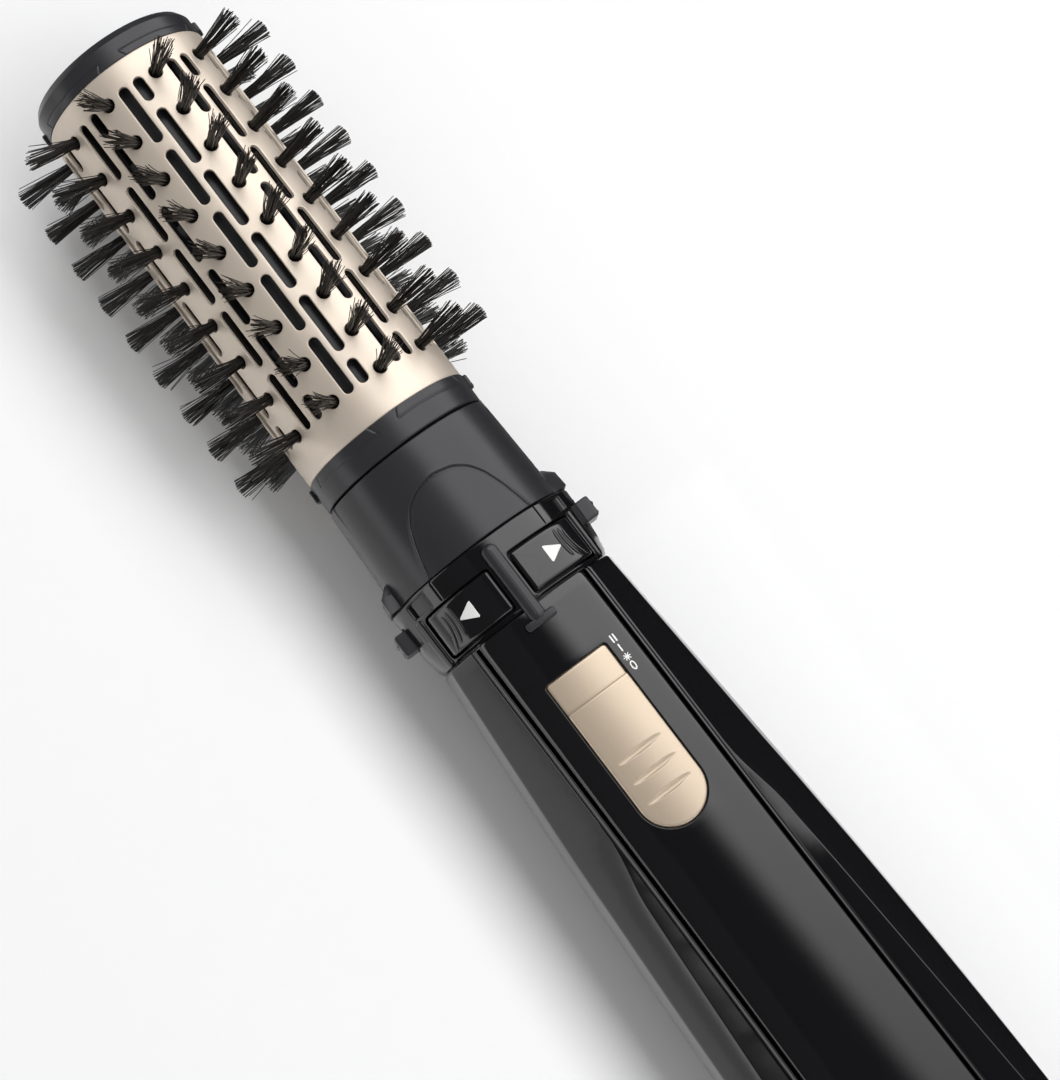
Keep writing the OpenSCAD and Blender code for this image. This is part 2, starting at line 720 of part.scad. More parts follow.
module fan_duct() color(satin_black) place() {
    tube_x(duct_x, duct_r, duct_bore);
    tube_x([fan_motor_x[0] + 6, fan_motor_x[1] - 2], fan_motor_r + 1.4, fan_motor_r + fit);
    for (a = [0:72:359]) turned(a + 36)
        block([fan_motor_x[0] + 6, fan_motor_x[1] - 2], [-0.7, 0.7], [fan_motor_r + 1, duct_bore + 0.5]);
    both_sides() block([-190, -158], [duct_r - 0.5, 26.4], [-1, 1]);
}

module fan_motor() color(steel) place() difference() {
    rod_x(fan_motor_x, fan_motor_r);
    rod_x([fan_motor_x[0] - cut, fan_motor_x[1] - 2], fan_shaft_r + fit);
}

module fan_shaft() color(steel) place() rod_x([blade_x[0] - 1, fan_motor_x[1] - 3], fan_shaft_r);

module fan_impeller() color(filter_grey) place() difference() {
    union() {
        rod_x(blade_x, 6);
        intersection() {
            for (a = [0:360 / blade_count:359]) turned(a)
                translate([(blade_x[0] + blade_x[1]) / 2, 0, 5]) rotate([0, 0, blade_pitch])
                    translate([-6, -0.5, 0]) cube([12, 1, 14]);
            rod_x([blade_x[0] + 0.3, blade_x[1] - 0.3], blade_r);
        }
    }
    rod_x([blade_x[0] - cut, blade_x[1] + cut], fan_shaft_r);
}

module inlet_filter() color(filter_grey) place() translate([shell_rear + 3, 0, 0])
    rotate([0, 90, 0]) linear_extrude(filter_t) difference() {
        circle(18);
        for (i = [-4:4]) for (j = [-4:4])
            if (norm([i, j]) * 3.6 < 16) translate([i * 3.6, j * 3.6]) square(2.6, center = true);
    }

module rear_cap() color(satin_black) place() difference() {
    union() {
        cap_body(0, cap_len);
        loft([for (x = [cap_front - 1, cap_front + 4]) cap_ring(x, 1, wall + 0.2)]);
    }
    loft([for (x = [cap_front - 1.2, cap_front + 5]) cap_ring(x, 1, 2 * wall + 0.2)]);
    translate([-0.2, 0, 0]) cap_body(wall + 0.2, cap_len - wall);
    rod_x([cap_rear - cut, cap_rear + wall + cut], swivel_r + fit);
    for (a = [18:36:359]) turned(a) block([cap_rear - cut, cap_front - 4], [-1.1, 1.1], [11.5, 24]);
}

module cord_swivel() color(satin_black) place() difference() {
    revolve_x([
        [0, cap_rear + 4.2], [swivel_r + 1.6, cap_rear + 4.2], [swivel_r + 1.6, cap_rear + 2.4],
        [swivel_r, cap_rear + 2.4], [swivel_r, cap_rear - 0.4], [8.8, cap_rear - 0.4],
        [8.8, cap_rear - 1.6], [7.4, cap_rear - 2],
        [5.9, rear_end + 0.8], [5.1, rear_end], [0, rear_end]
    ]);
    rod_x([rear_end - cut, cap_rear + 5], inlet_d / 2);
}

module bristle_row_01() bristle_row(1);
module bristle_row_02() bristle_row(2);
module bristle_row_03() bristle_row(3);
module bristle_row_04() bristle_row(4);
module bristle_row_05() bristle_row(5);
module bristle_row_06() bristle_row(6);
module bristle_row_07() bristle_row(7);
module bristle_row_08() bristle_row(8);
module bristle_row_09() bristle_row(9);
module bristle_row_10() bristle_row(10);

barrel_tube();
tip_cap();
tip_screw();
base_ring();
drive_spider();
head_shaft();
retaining_ring();
bristle_row_01();
bristle_row_02();
bristle_row_03();
bristle_row_04();
bristle_row_05();
bristle_row_06();
bristle_row_07();
bristle_row_08();
bristle_row_09();
bristle_row_10();
bristle_cage();
collar();
collar_bearing();
control_ring();
air_outlet();
shaft_bush();
rotate_button_left();
rotate_button_right();
arrow_left();
arrow_right();
rotation_switches();
release_button_left();
release_button_right();
release_spring_left();
release_spring_right();
centre_ridge();
top_cover();
left_shell();
right_shell();
case_screws();
slider_plate();
power_slider();
setting_marks();
slide_switch();
circuit_board();
gear_case();
gear_motor();
motor_pinion();
drive_gear();
output_shaft();
heat_shield();
heater_frame();
heater_coil();
thermal_cutout();
fan_duct();
fan_motor();
fan_shaft();
fan_impeller();
inlet_filter();
rear_cap();
cord_swivel();
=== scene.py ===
import math

import bmesh
import bpy
import numpy as np
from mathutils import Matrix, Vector


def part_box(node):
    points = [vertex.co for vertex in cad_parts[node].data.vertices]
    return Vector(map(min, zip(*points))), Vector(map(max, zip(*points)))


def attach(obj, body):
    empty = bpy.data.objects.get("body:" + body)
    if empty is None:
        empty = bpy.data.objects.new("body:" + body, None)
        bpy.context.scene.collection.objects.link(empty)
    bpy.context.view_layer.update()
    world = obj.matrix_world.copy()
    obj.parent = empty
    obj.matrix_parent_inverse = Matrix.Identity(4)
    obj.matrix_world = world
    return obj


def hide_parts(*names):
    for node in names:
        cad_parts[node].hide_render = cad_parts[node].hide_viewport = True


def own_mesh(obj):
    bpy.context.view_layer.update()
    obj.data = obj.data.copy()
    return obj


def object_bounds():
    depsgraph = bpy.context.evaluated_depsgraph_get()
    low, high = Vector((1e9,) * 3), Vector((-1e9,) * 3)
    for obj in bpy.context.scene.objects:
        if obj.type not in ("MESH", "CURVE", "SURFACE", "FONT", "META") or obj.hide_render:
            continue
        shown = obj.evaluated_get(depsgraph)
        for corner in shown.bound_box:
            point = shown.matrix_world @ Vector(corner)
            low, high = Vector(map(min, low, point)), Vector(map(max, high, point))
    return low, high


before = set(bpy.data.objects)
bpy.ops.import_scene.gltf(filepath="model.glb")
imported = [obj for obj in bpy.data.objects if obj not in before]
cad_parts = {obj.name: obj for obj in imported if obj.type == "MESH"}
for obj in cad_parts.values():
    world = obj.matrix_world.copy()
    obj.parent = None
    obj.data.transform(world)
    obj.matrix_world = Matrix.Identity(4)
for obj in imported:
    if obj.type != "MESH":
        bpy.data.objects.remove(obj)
cad_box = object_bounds()
MM = 0.001
seam_low, seam_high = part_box("barrel_tube")
SEAM = seam_low.x / MM                       # row x of the barrel's rear edge
AXIS = (seam_low.z + seam_high.z) / 2 / MM   # row z of the barrel's axis


# ---- outlines and mesh building
def fillet(points, radius, arc=5, step=None, closed=True):
    """Polygon or open line with rounded corners. radius is one value or one per corner."""
    points = np.asarray(points, float)
    n = len(points)
    radii = np.broadcast_to(np.asarray(radius, float), (n,))
    out = []
    for i in range(n):
        p = points[i]
        if (not closed and i in (0, n - 1)) or radii[i] <= 0:
            out.append([p])
            continue
        a, b = points[i - 1] - p, points[(i + 1) % n] - p
        la, lb = np.linalg.norm(a), np.linalg.norm(b)
        a, b = a / la, b / lb
        half = math.acos(max(-1, min(1, float(a @ b)))) / 2
        if half > math.pi / 2 - 0.01:
            out.append([p] * (arc + 1))
            continue
        reach = min(radii[i] / math.tan(half), 0.499 * la, 0.499 * lb)
        r = reach * math.tan(half)
        middle = p + (a + b) / np.linalg.norm(a + b) * (r / math.sin(half))
        start, end = p + a * reach - middle, p + b * reach - middle
        turn = math.atan2(start[0] * end[1] - start[1] * end[0], float(start @ end))
        out.append([middle + start * math.cos(turn * k / arc)
                    + np.array([-start[1], start[0]]) * math.sin(turn * k / arc) for k in range(arc + 1)])
    line = []
    for i, corner in enumerate(out):
        line += corner
        if step and (closed or i < n - 1):
            a, b = np.asarray(corner[-1]), np.asarray(out[(i + 1) % n][0])
            count = max(1, round(float(np.linalg.norm(b - a)) / step))
            line += [a + (b - a) * k / count for k in range(1, count)]
    return np.array(line)


def rectangle(x, y, radius, arc=5, step=None):
    """Rectangle over two ranges with rounded corners, anticlockwise from its lowest x and y."""
    corners = [(x[0], y[0]), (x[1], y[0]), (x[1], y[1]), (x[0], y[1])]
    return fillet(corners, radius, arc, step)


def offset(outline, by):
    """Moves a closed outline outwards by that much; the outline runs anticlockwise."""
    ahead = np.roll(outline, -1, 0) - outline
    ahead /= np.maximum(np.linalg.norm(ahead, axis=1, keepdims=True), 1e-9)
    tangent = ahead + np.roll(ahead, 1, 0)
    tangent /= np.maximum(np.linalg.norm(tangent, axis=1, keepdims=True), 1e-9)
    return outline + by * np.stack([tangent[:, 1], -tangent[:, 0]], 1)


def lines(stops, step):
    """Grid lines through every stop, no further apart than step."""
    stops = sorted(set(round(float(s), 4) for s in stops))
    out = [stops[0]]
    for a, b in zip(stops, stops[1:]):
        if b - a < 0.02:
            continue
        count = max(1, math.ceil((b - a) / step - 1e-6))
        out += [a + (b - a) * k / count for k in range(1, count + 1)]
    return np.array(out)


def smooth(a, b, x):
    """0 at a, 1 at b, with soft ends."""
    t = np.clip((np.asarray(x, float) - a) / (b - a), 0, 1)
    return t * t * (3 - 2 * t)


def bump(x, middle, half, soft):
    """1 within half of the middle, falling to 0 over soft."""
    return 1 - smooth(half, half + soft, np.abs(np.asarray(x, float) - middle))


def around(x, angle, r):
    """Points at an angle in degrees from the top, positive towards -Y."""
    x, angle, r = np.broadcast_arrays(*(np.asarray(v, float) for v in (x, np.radians(angle), r)))
    return np.stack([x, -r * np.sin(angle), r * np.cos(angle)], -1)


def over(xy, z):
    """Points at height z over a plan."""
    return np.column_stack([xy, np.broadcast_to(z, len(xy))])


def new_mesh(name, points, faces):
    """An object in the scene with a mesh of points in row metres."""
    obj = bpy.data.objects.new(name, bpy.data.meshes.new(name))
    obj.data.from_pydata(points, [], faces)
    bpy.context.scene.collection.objects.link(obj)
    return obj


class Piece:
    """Collects faces in the working frame: millimetres, x = 0 at the barrel's rear edge, z = 0 on its axis."""

    def __init__(self, name):
        self.name, self.points, self.faces, self.count = name, [], [], 0

    def add(self, points, faces):
        points = np.asarray(points, float).reshape(-1, 3)
        self.points.append(points)
        self.faces += [[self.count + i for i in face] for face in faces]
        self.count += len(points)

    def sheet(self, grid, wrap=False, skip=(), flip=False):
        """A grid of points joined into quads; wrap joins each row's last point to its first."""
        grid = np.asarray(grid, float)
        rows, cols = grid.shape[:2]
        faces = []
        for i in range(rows - 1):
            for j in range(cols if wrap else cols - 1):
                if (i, j) in skip:
                    continue
                k = (j + 1) % cols
                face = [i * cols + j, i * cols + k, (i + 1) * cols + k, (i + 1) * cols + j]
                faces.append(face[::-1] if flip else face)
        self.add(grid, faces)

    def stack(self, loops, first=False, last=False):
        """Closed loops joined one to the next, with a fan over either end if asked."""
        self.sheet(loops, wrap=True)
        for wanted, loop in ((first, loops[0]), (last, loops[-1])):
            if wanted:
                n = len(loop)
                self.add(np.vstack([loop, np.mean(loop, 0)]), [[i, (i + 1) % n, n] for i in range(n)])

    def lathe(self, profile):
        """profile holds (x, r) points."""
        profile = np.asarray(profile, float)
        self.sheet(around(profile[:, :1], np.arange(0, 360, 3)[None, :], profile[:, 1:]), wrap=True)

    def pad(self, outline, surface, edge, spine, rings=10, bottom=True):
        """A raised slab. surface(xy, height) places a point, edge lists (inset, height) from the foot up, and the
        top runs in rings from the edge to the spine, a line of two points. bottom closes the foot."""
        loops = [surface(offset(outline, -inset), height) for inset, height in edge]
        rim = offset(outline, -edge[-1][0])
        a, b = np.asarray(spine[0], float), np.asarray(spine[1], float)
        t = np.clip(((rim - a) @ (b - a)) / max(float((b - a) @ (b - a)), 1e-9), 0, 1)[:, None]
        middle = a + t * (b - a)
        for k in range(1, rings + 1):
            share = k / rings
            loops.append(surface(rim + (middle - rim) * share, edge[-1][1]))
        self.sheet(loops, wrap=True)
        if bottom:
            foot = offset(outline, -edge[0][0])
            self.sheet([surface(foot + (middle - foot) * k / 3, edge[0][1]) for k in range(4)], wrap=True)

    def make(self, body, material, nodes, sharp=38, weld=0.004):
        """Turns the faces into an object that rides on a body and stands for CAD nodes. Edges over sharp degrees
        stay sharp, and points closer than weld are joined."""
        points = (np.vstack(self.points) + [SEAM, 0, AXIS]) * MM
        obj = new_mesh(self.name, points.tolist(), self.faces)
        mesh = obj.data
        work = bmesh.new()
        work.from_mesh(mesh)
        if weld:
            bmesh.ops.remove_doubles(work, verts=work.verts, dist=weld * MM)
            bmesh.ops.dissolve_degenerate(work, edges=work.edges, dist=1e-7)
            bmesh.ops.recalc_face_normals(work, faces=work.faces)
        work.to_mesh(mesh)
        work.free()
        mesh.shade_smooth()
        mesh.set_sharp_from_angle(angle=math.radians(sharp))
        mesh.materials.append(material)
        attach(obj, body)
        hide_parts(*nodes)
        return obj


def holed(piece, U, V, surface, holes, depth, period=0.0, inner=True):
    """A sheet of thickness depth over the grid U, V with holes. surface(u, v, drop) places a point. Each hole is
    (outline, levels) in u and v, or (outline, levels, domain, place) where domain gives an outline's u, v and
    place its points at a drop."""
    skip, tasks = set(), []
    wrap, width = period > 0, U.shape[1]
    plain = (lambda outline: outline, lambda outline, drop: surface(*outline.T, drop))
    for outline, levels, *own in holes:
        domain, place = own or plain
        u, v = domain(offset(outline, levels[0][0])).T
        inside = (U > u.min() - 0.12) & (U < u.max() + 0.12) & (V > v.min() - 0.12) & (V < v.max() + 0.12)
        rows, cols = np.nonzero(inside)
        i0, i1, j0, j1 = rows.min() - 1, rows.max() + 1, cols.min() - 1, cols.max() + 1
        skip |= {(i, j) for i in range(i0, i1) for j in range(j0, j1)}
        ring = ([(i0, j) for j in range(j0, j1)] + [(i, j1) for i in range(i0, i1)]
                + [(i1, j) for j in range(j1, j0, -1)] + [(i, j0) for i in range(i1, i0, -1)])
        tasks.append((outline, levels, domain, place, ring))
    piece.sheet(surface(U, V, 0), wrap, skip)
    if inner:
        piece.sheet(surface(U, V, depth), wrap, skip, flip=True)
    for outline, levels, domain, place, ring in tasks:
        bu = np.array([U[i, j % width] for i, j in ring])
        bv = np.array([V[i, j % width] + period * (j // width) for i, j in ring])
        loops = [place(offset(outline, out), drop) for out, drop in levels]
        flat = domain(outline)
        near = [int(np.argmin((flat[:, 0] - a) ** 2 + (flat[:, 1] - b) ** 2)) for a, b in zip(bu, bv)]
        n, m = len(ring), len(outline)
        hole_area = np.sum(flat[:, 0] * np.roll(flat[:, 1], -1) - np.roll(flat[:, 0], -1) * flat[:, 1])
        ring_area = np.sum(bu * np.roll(bv, -1) - np.roll(bu, -1) * bv)
        sense = 1 if hole_area * ring_area > 0 else -1
        sides = [(0, loops[0])] + ([(depth, loops[-1])] if inner else [])
        for drop, loop in sides:
            faces = []
            for i in range(n):
                k = (i + 1) % n
                a, b = near[i], near[k]
                chain = [a]
                while a != b:
                    a = (a + sense) % m
                    chain.append(a)
                    if len(chain) > m // 2:
                        chain = [near[i], near[k]]
                        break
                faces.append([i, k] + [n + c for c in reversed(chain)])
            piece.add(np.vstack([surface(bu, bv, drop), loop]), faces)
        piece.stack(loops)


# ---- materials
def finish_of(name, color, rough, metallic=0.0, grain=0.0, grain_size=0.35, mottle=0.0, mottle_size=6.0, ior=1.5,
              stretch=(1, 1, 1), tint=None):
    """Procedural finish. grain is a bump's height and grain_size its size, both in mm; mottle varies the colour
    and roughness over patches of mottle_size mm."""
    m = bpy.data.materials.new(name)
    m.use_nodes = True
    nodes, link = m.node_tree.nodes, m.node_tree.links.new
    shader = nodes["Principled BSDF"]
    for key, value in (("Metallic", metallic), ("IOR", ior), ("Roughness", rough), ("Base Color", (*color, 1))):
        shader.inputs[key].default_value = value
    where = nodes.new("ShaderNodeTexCoord")
    scale = nodes.new("ShaderNodeMapping")
    scale.inputs["Scale"].default_value = stretch
    link(where.outputs["Object"], scale.inputs["Vector"])

    def noise(size, detail):
        node = nodes.new("ShaderNodeTexNoise")
        node.inputs["Scale"].default_value = 1000 / size
        node.inputs["Detail"].default_value = detail
        link(scale.outputs["Vector"], node.inputs["Vector"])
        return node.outputs["Fac"]

    if mottle:
        patches = noise(mottle_size, 4)
        shade = nodes.new("ShaderNodeMix")
        shade.data_type = "RGBA"
        other = tint or tuple(c * (1 - mottle) for c in color)
        shade.inputs["A"].default_value = (*color, 1)
        shade.inputs["B"].default_value = (*other, 1)
        link(patches, shade.inputs["Factor"])
        link(shade.outputs["Result"], shader.inputs["Base Color"])
        spread = nodes.new("ShaderNodeMapRange")
        spread.inputs["To Min"].default_value = rough * (1 - mottle * 0.5)
        spread.inputs["To Max"].default_value = rough * (1 + mottle * 0.5)
        link(patches, spread.inputs["Value"])
        link(spread.outputs["Result"], shader.inputs["Roughness"])
    if grain:
        relief = nodes.new("ShaderNodeBump")
        relief.inputs["Strength"].default_value = 1
        relief.inputs["Distance"].default_value = grain * MM
        link(noise(grain_size, 3), relief.inputs["Height"])
        link(relief.outputs["Normal"], shader.inputs["Normal"])
    return m


gold = finish_of("barrel_gold", (0.69, 0.60, 0.505), 0.44, metallic=0.52, grain=0.004, grain_size=0.25,
                 mottle=0.05)
slider_gold = finish_of("slider_gold", (0.60, 0.49, 0.375), 0.4, metallic=0.5, grain=0.012, grain_size=0.5,
                        mottle=0.05)
satin = finish_of("satin_black", (0.029, 0.029, 0.032), 0.29, grain=0.003, grain_size=0.3, mottle=0.12, ior=1.41)
gloss = finish_of("gloss_black", (0.008, 0.008, 0.009), 0.1, grain=0.008, grain_size=2.5, mottle=0.1, ior=1.6)
nylon = finish_of("bristle_nylon", (0.005, 0.005, 0.005), 0.34, mottle=0.4, mottle_size=3, ior=1.53,
                  tint=(0.012, 0.009, 0.007))
white_print = finish_of("print_white", (0.82, 0.82, 0.8), 0.45, grain=0.01, grain_size=0.2, mottle=0.04)
steel = finish_of("steel", (0.55, 0.56, 0.57), 0.28, metallic=1, grain=0.004, grain_size=0.6, stretch=(0.2, 1, 1),
                  mottle=0.12)
spring_steel = finish_of("spring_steel", (0.45, 0.45, 0.45), 0.3, metallic=1, mottle=0.2, mottle_size=2)
brass = finish_of("brass", (0.72, 0.55, 0.27), 0.3, metallic=1, grain=0.004, grain_size=0.4, mottle=0.15)
acetal = finish_of("white_acetal", (0.78, 0.77, 0.73), 0.42, grain=0.006, grain_size=0.4, mottle=0.04)
mica = finish_of("mica", (0.5, 0.42, 0.3), 0.5, grain=0.03, grain_size=2, mottle=0.35, mottle_size=5)
nichrome = finish_of("nichrome", (0.3, 0.28, 0.26), 0.4, metallic=1, mottle=0.3, mottle_size=3)
board = finish_of("board_green", (0.03, 0.16, 0.07), 0.35, grain=0.01, grain_size=0.8, mottle=0.15)
grey = finish_of("filter_grey", (0.08, 0.083, 0.088), 0.5, grain=0.015, grain_size=0.4, mottle=0.15)

for material, names in (
    (steel, "tip_screw head_shaft retaining_ring rotation_switches case_screws slide_switch gear_motor "
            "output_shaft heat_shield fan_motor fan_shaft"),
    (brass, "shaft_bush motor_pinion thermal_cutout"),
    (acetal, "drive_spider collar_bearing drive_gear"), (mica, "heater_frame"), (nichrome, "heater_coil"),
    (board, "circuit_board"), (grey, "gear_case fan_impeller inlet_filter"),
    (satin, "bristle_cage air_outlet fan_duct"),
):
    for name in names.split():
        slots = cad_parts[name].data.materials
        slots.clear()
        slots.append(material)

# ---- bristle tufts
BARREL_R, BARREL_LEN, BARREL_WALL = 21.0, 98.5, 0.8
TURN = -2.2                                       # degrees that the barrel's pattern is turned by
TUFT_X = [9.3 + 82.5 / 8 * i for i in range(9)]
REACH, RAIL_TOP = 34.5, 18.9                      # from the axis to the tips and to the tufts' roots
FIBRES, FIBRE_R, TUFT_R, WIDEST_R = 48, 0.108, 1.08, 3.4
GOLDEN = math.pi * (3 - math.sqrt(5))
SIDE_LIMIT = cad_box[1][1] / MM - 0.02
random = np.random.default_rng(7)


def tilted(x, across, height, turn):
    """Points at a height over the axis, on a row that stands at an angle in radians."""
    return np.stack([x, across * math.cos(turn) - height * math.sin(turn),
                     across * math.sin(turn) + height * math.cos(turn)], 1)


def fibre(piece, x0, turn, k, lean):
    """Filament k of a tuft: it flares out of the bunch, bows a little and now and then strays."""
    heading = k * GOLDEN + random.normal(0, 0.12)
    root = TUFT_R * math.sqrt((k + 0.5) / FIBRES) * np.array([math.cos(heading), math.sin(heading)])
    flare = 1.9 + 0.5 * random.random()
    tip = root * flare + lean * 2 + random.normal(0, 0.28, 2)
    stray = random.random() < 0.17
    if stray:
        tip += random.normal(0, 1.2, 2)
    tip *= min(1, WIDEST_R / max(np.linalg.norm(tip), 1e-6))
    bow = random.normal(0, 0.16, 2)
    top = REACH - 0.12 - 0.16 * random.random() - (0.5 * random.random() if stray else 0)
    top -= 0.10 * float(tip @ tip)
    side = np.arange(5) / 5 * 2 * math.pi + random.random() * 6
    loops = []
    for t, swell in ((0, 1), (0.25, 1), (0.5, 0.97), (0.75, 0.93), (0.985, 0.88), (1, 0.6)):
        here = root + (tip - root) * t ** 1.35 + bow * math.sin(math.pi * t) * (t > 0.3)
        r = FIBRE_R * swell
        loops.append(tilted(x0 + here[0] + r * np.cos(side), here[1] + r * np.sin(side),
                            RAIL_TOP + (top - RAIL_TOP) * t, turn))
    loops = np.array(loops)
    loops[:, :, 2] = np.maximum(loops[:, :, 2], -AXIS + 0.01)
    loops[:, :, 1] = np.clip(loops[:, :, 1], -SIDE_LIMIT, SIDE_LIMIT)
    piece.sheet(loops, wrap=True, flip=True)
    piece.add(loops[-1], [[0, 1, 2, 3, 4]])


for row in range(10):
    piece = Piece(f"bristle_tufts_{row + 1:02d}")
    turn = math.radians(TURN + 36 * (row + 0.5))
    rail = rectangle((-2.5, 2.5), (17.15, 19.15), 0.3, 2)
    ends = []
    for x, inset in ((5.3, 0.25), (5.6, 0), (93.0, 0), (93.3, 0.25)):
        y, z = offset(rail, -inset).T
        ends.append(tilted(np.full(len(y), x), y, z, turn))
    piece.stack(ends, True, True)
    for x in TUFT_X:
        lean = random.normal(0, 0.10, 2)
        for k in range(FIBRES):
            fibre(piece, x, turn, k, lean)
    piece.make("barrel", nylon, [f"bristle_row_{row + 1:02d}"], sharp=60, weld=0)

# ---- barrel
FIRST_SLOT, SLOT_PITCH, LONG_SLOT, SHORT_SLOT, SLOT_HALF = 8.3, 17.46, 14.91, 6.18, 1.3


def barrel_point(u, v, drop):
    return around(u, np.degrees(v / BARREL_R) + TURN, BARREL_R - drop)


def arc_of(degrees):
    return math.radians(degrees) * BARREL_R


piece = Piece("barrel")
slots = [(-5.5, FIRST_SLOT + SLOT_PITCH * i, LONG_SLOT) for i in range(5)]
slots += [(5.5, FIRST_SLOT + SLOT_PITCH * (i + 0.5), LONG_SLOT) for i in range(4)]
slots += [(5.5, FIRST_SLOT, SHORT_SLOT), (5.5, FIRST_SLOT + SLOT_PITCH * 4.5, SHORT_SLOT)]
x_stops = [0.35, BARREL_LEN - 0.35]
for angle, start, length in slots:
    x_stops += [start - 0.75, start + length + 0.75]
for x in TUFT_X:
    x_stops += [x - 2.15, x + 2.15]
arcs = [36 * row + a for row in range(10) for a in (0, 3.5, 7, 10.5, 12.4, 16.1, 19.9, 23.6, 25.5, 29, 32.5)]
vs = arc_of(1) * np.array(arcs)
U, V = np.meshgrid(lines(x_stops, 1.7), vs, indexing="ij")
punched = [(0.2, 0), (0.12, 0.01), (0.04, 0.05), (0, 0.15), (0, BARREL_WALL)]
holes = []
for row in range(10):
    for angle, start, length in slots:
        v = arc_of((36 * row + angle) % 360)
        outline = rectangle((start, start + length), (v - SLOT_HALF, v + SLOT_HALF), SLOT_HALF - 0.001, 6, 2.0)
        holes.append((outline, punched))
    for x in TUFT_X:
        turn = np.radians(np.arange(0, 360, 24))
        outline = np.stack([x + 1.6 * np.cos(turn), arc_of(36 * row + 18) + 1.6 * np.sin(turn)], 1)
        holes.append((outline, punched))
holed(piece, U, V, barrel_point, holes, BARREL_WALL, period=arc_of(360))
for end, inward in ((0, 1), (BARREL_LEN, -1)):
    edge = [(0.35, 0.8), (0.1, 0.8), (0, 0.7), (0, 0.25), (0.12, 0.07), (0.35, 0)]
    piece.sheet([barrel_point(end + inward * into, vs, drop) for into, drop in edge], wrap=True)
piece.make("barrel", gold, ["barrel_tube"], sharp=50)

# ---- tip cap and base ring
def segment_mark(x, angle, seam_x, away):
    """How deep the outline of a snap segment is at a point: a line round the ring with slanted ends."""
    a = (np.asarray(angle, float) - TURN + 0.5) % 72
    far = np.abs(a - 36)
    slant = 29.0 - (np.asarray(x, float) - seam_x) * away * 1.6
    level = bump(x, seam_x, 0.13, 0.09) * (far < 29.0)
    ends = bump(far, slant, 0.3, 0.3) * ((np.asarray(x, float) - seam_x) * away > -0.1)
    return np.maximum(level, ends)


def ring_lathe(piece, profile, mark, fine_angles):
    """Turns a closed (x, r) profile, with close points along its outer face, where the mark is cut in."""
    points = []
    for a, b in zip(profile, np.roll(profile, -1, 0)):
        count = max(1, round(float(np.linalg.norm(b - a)) / 0.24)) if min(a[1], b[1]) > 20.5 else 1
        points += [a + (b - a) * k / count for k in range(count)]
    points = np.array(points + points[:1])
    x, r = points[:, :1], points[:, 1:]
    a = fine_angles[None, :]
    outer = (r > 20.5)
    piece.sheet(around(x, a, r - 0.16 * mark(x, a) * outer), wrap=True)


def clip_heads(piece, x0, x1, r):
    """The two raised heads, on opposite sides, of the clips that hold a ring in the barrel."""
    for angle in (84.0, -96.0):
        v = math.radians(angle) * r
        outline = rectangle((x0, x1), (v - 2.2, v + 2.2), 0.5, 4, 0.4)

        def head_surface(xy, height):
            return around(xy[:, 0], np.degrees(xy[:, 1] / r), r + height)

        piece.pad(outline, head_surface, [(0, -0.5), (0, 0.4), (0.06, 0.6), (0.2, 0.75), (0.45, 0.8)],
                  [((x0 + x1) / 2, v - 1), ((x0 + x1) / 2, v + 1)], 4)


mark_ends = [72 * k + 36 + side * 29.0 + TURN - 0.5 for k in range(5) for side in (-1, 1)]
ring_angles = lines([end + d for end in mark_ends for d in np.arange(-4.5, 4.6, 0.45)] + [0, 360], 2.5)
ring_angles = ring_angles[(ring_angles >= 0) & (ring_angles < 359.9)]
piece = Piece("tip_cap")
profile = fillet([(97.0, 6.0), (102.9, 6.0), (102.6, 16.5), (98.5, 17.6), (93.5, 17.6), (93.5, 20.1),
                  (98.5, 20.1), (98.5, 21.02), (103.2, 21.0), (104.9, 20.0), (105.5, 18.3), (105.5, 17.2),
                  (104.6, 16.2), (105.1, 8.0), (105.2, 3.2), (103.7, 3.2), (103.7, 1.6), (97.0, 1.6)],
                 [0.3, 0.5, 0.5, 0.3, 0.3, 0.3, 0.1, 0.15, 0.6, 0.6, 0.4, 0.4, 0.5, 2, 0.3, 0.2, 0.2, 0.2], 4)
ring_lathe(piece, profile, lambda x, a: segment_mark(x, a, 100.3, -1), ring_angles)
clip_heads(piece, 98.9, 101.6, 21.0)
piece.make("barrel", satin, ["tip_cap"])

piece = Piece("base_ring")
profile = fillet([(-23, 12.5), (-23, 15), (-21.9, 15), (-21.9, 14), (-20.4, 14), (-20.4, 15), (-7.2, 15),
                  (-7.2, 21.1), (0, 21.2), (0, 20.1), (5, 20.1), (5, 17), (-4, 17), (-6, 12.5)],
                 [0.3, 0.3, 0.05, 0.05, 0.05, 0.05, 0.2, 0.45, 0.2, 0.1, 0.3, 0.3, 0.5, 0.5], 4)
ring_lathe(piece, profile, lambda x, a: segment_mark(x, a, -2.3, 1), ring_angles)
clip_heads(piece, -3.6, -0.4, 21.2)
piece.make("barrel", satin, ["base_ring"])

# ---- collar
COLLAR_REAR, COLLAR_FRONT = -34.2, -7.7
ARCH = [(-34.6, 37.8), (-30.5, 35.0), (-26.5, 31.8), (-22.6, 27.4), (-19.6, 21.6), (-17.6, 13.4), (-16.5, 0)]
arch = [(x, -a) for x, a in ARCH] + ARCH[-2::-1]
arch_line = fillet([(x, math.radians(a) * 22) for x, a in arch], [0] + [6.0] * (len(arch) - 2) + [0], 6, 0.5,
                   closed=False)


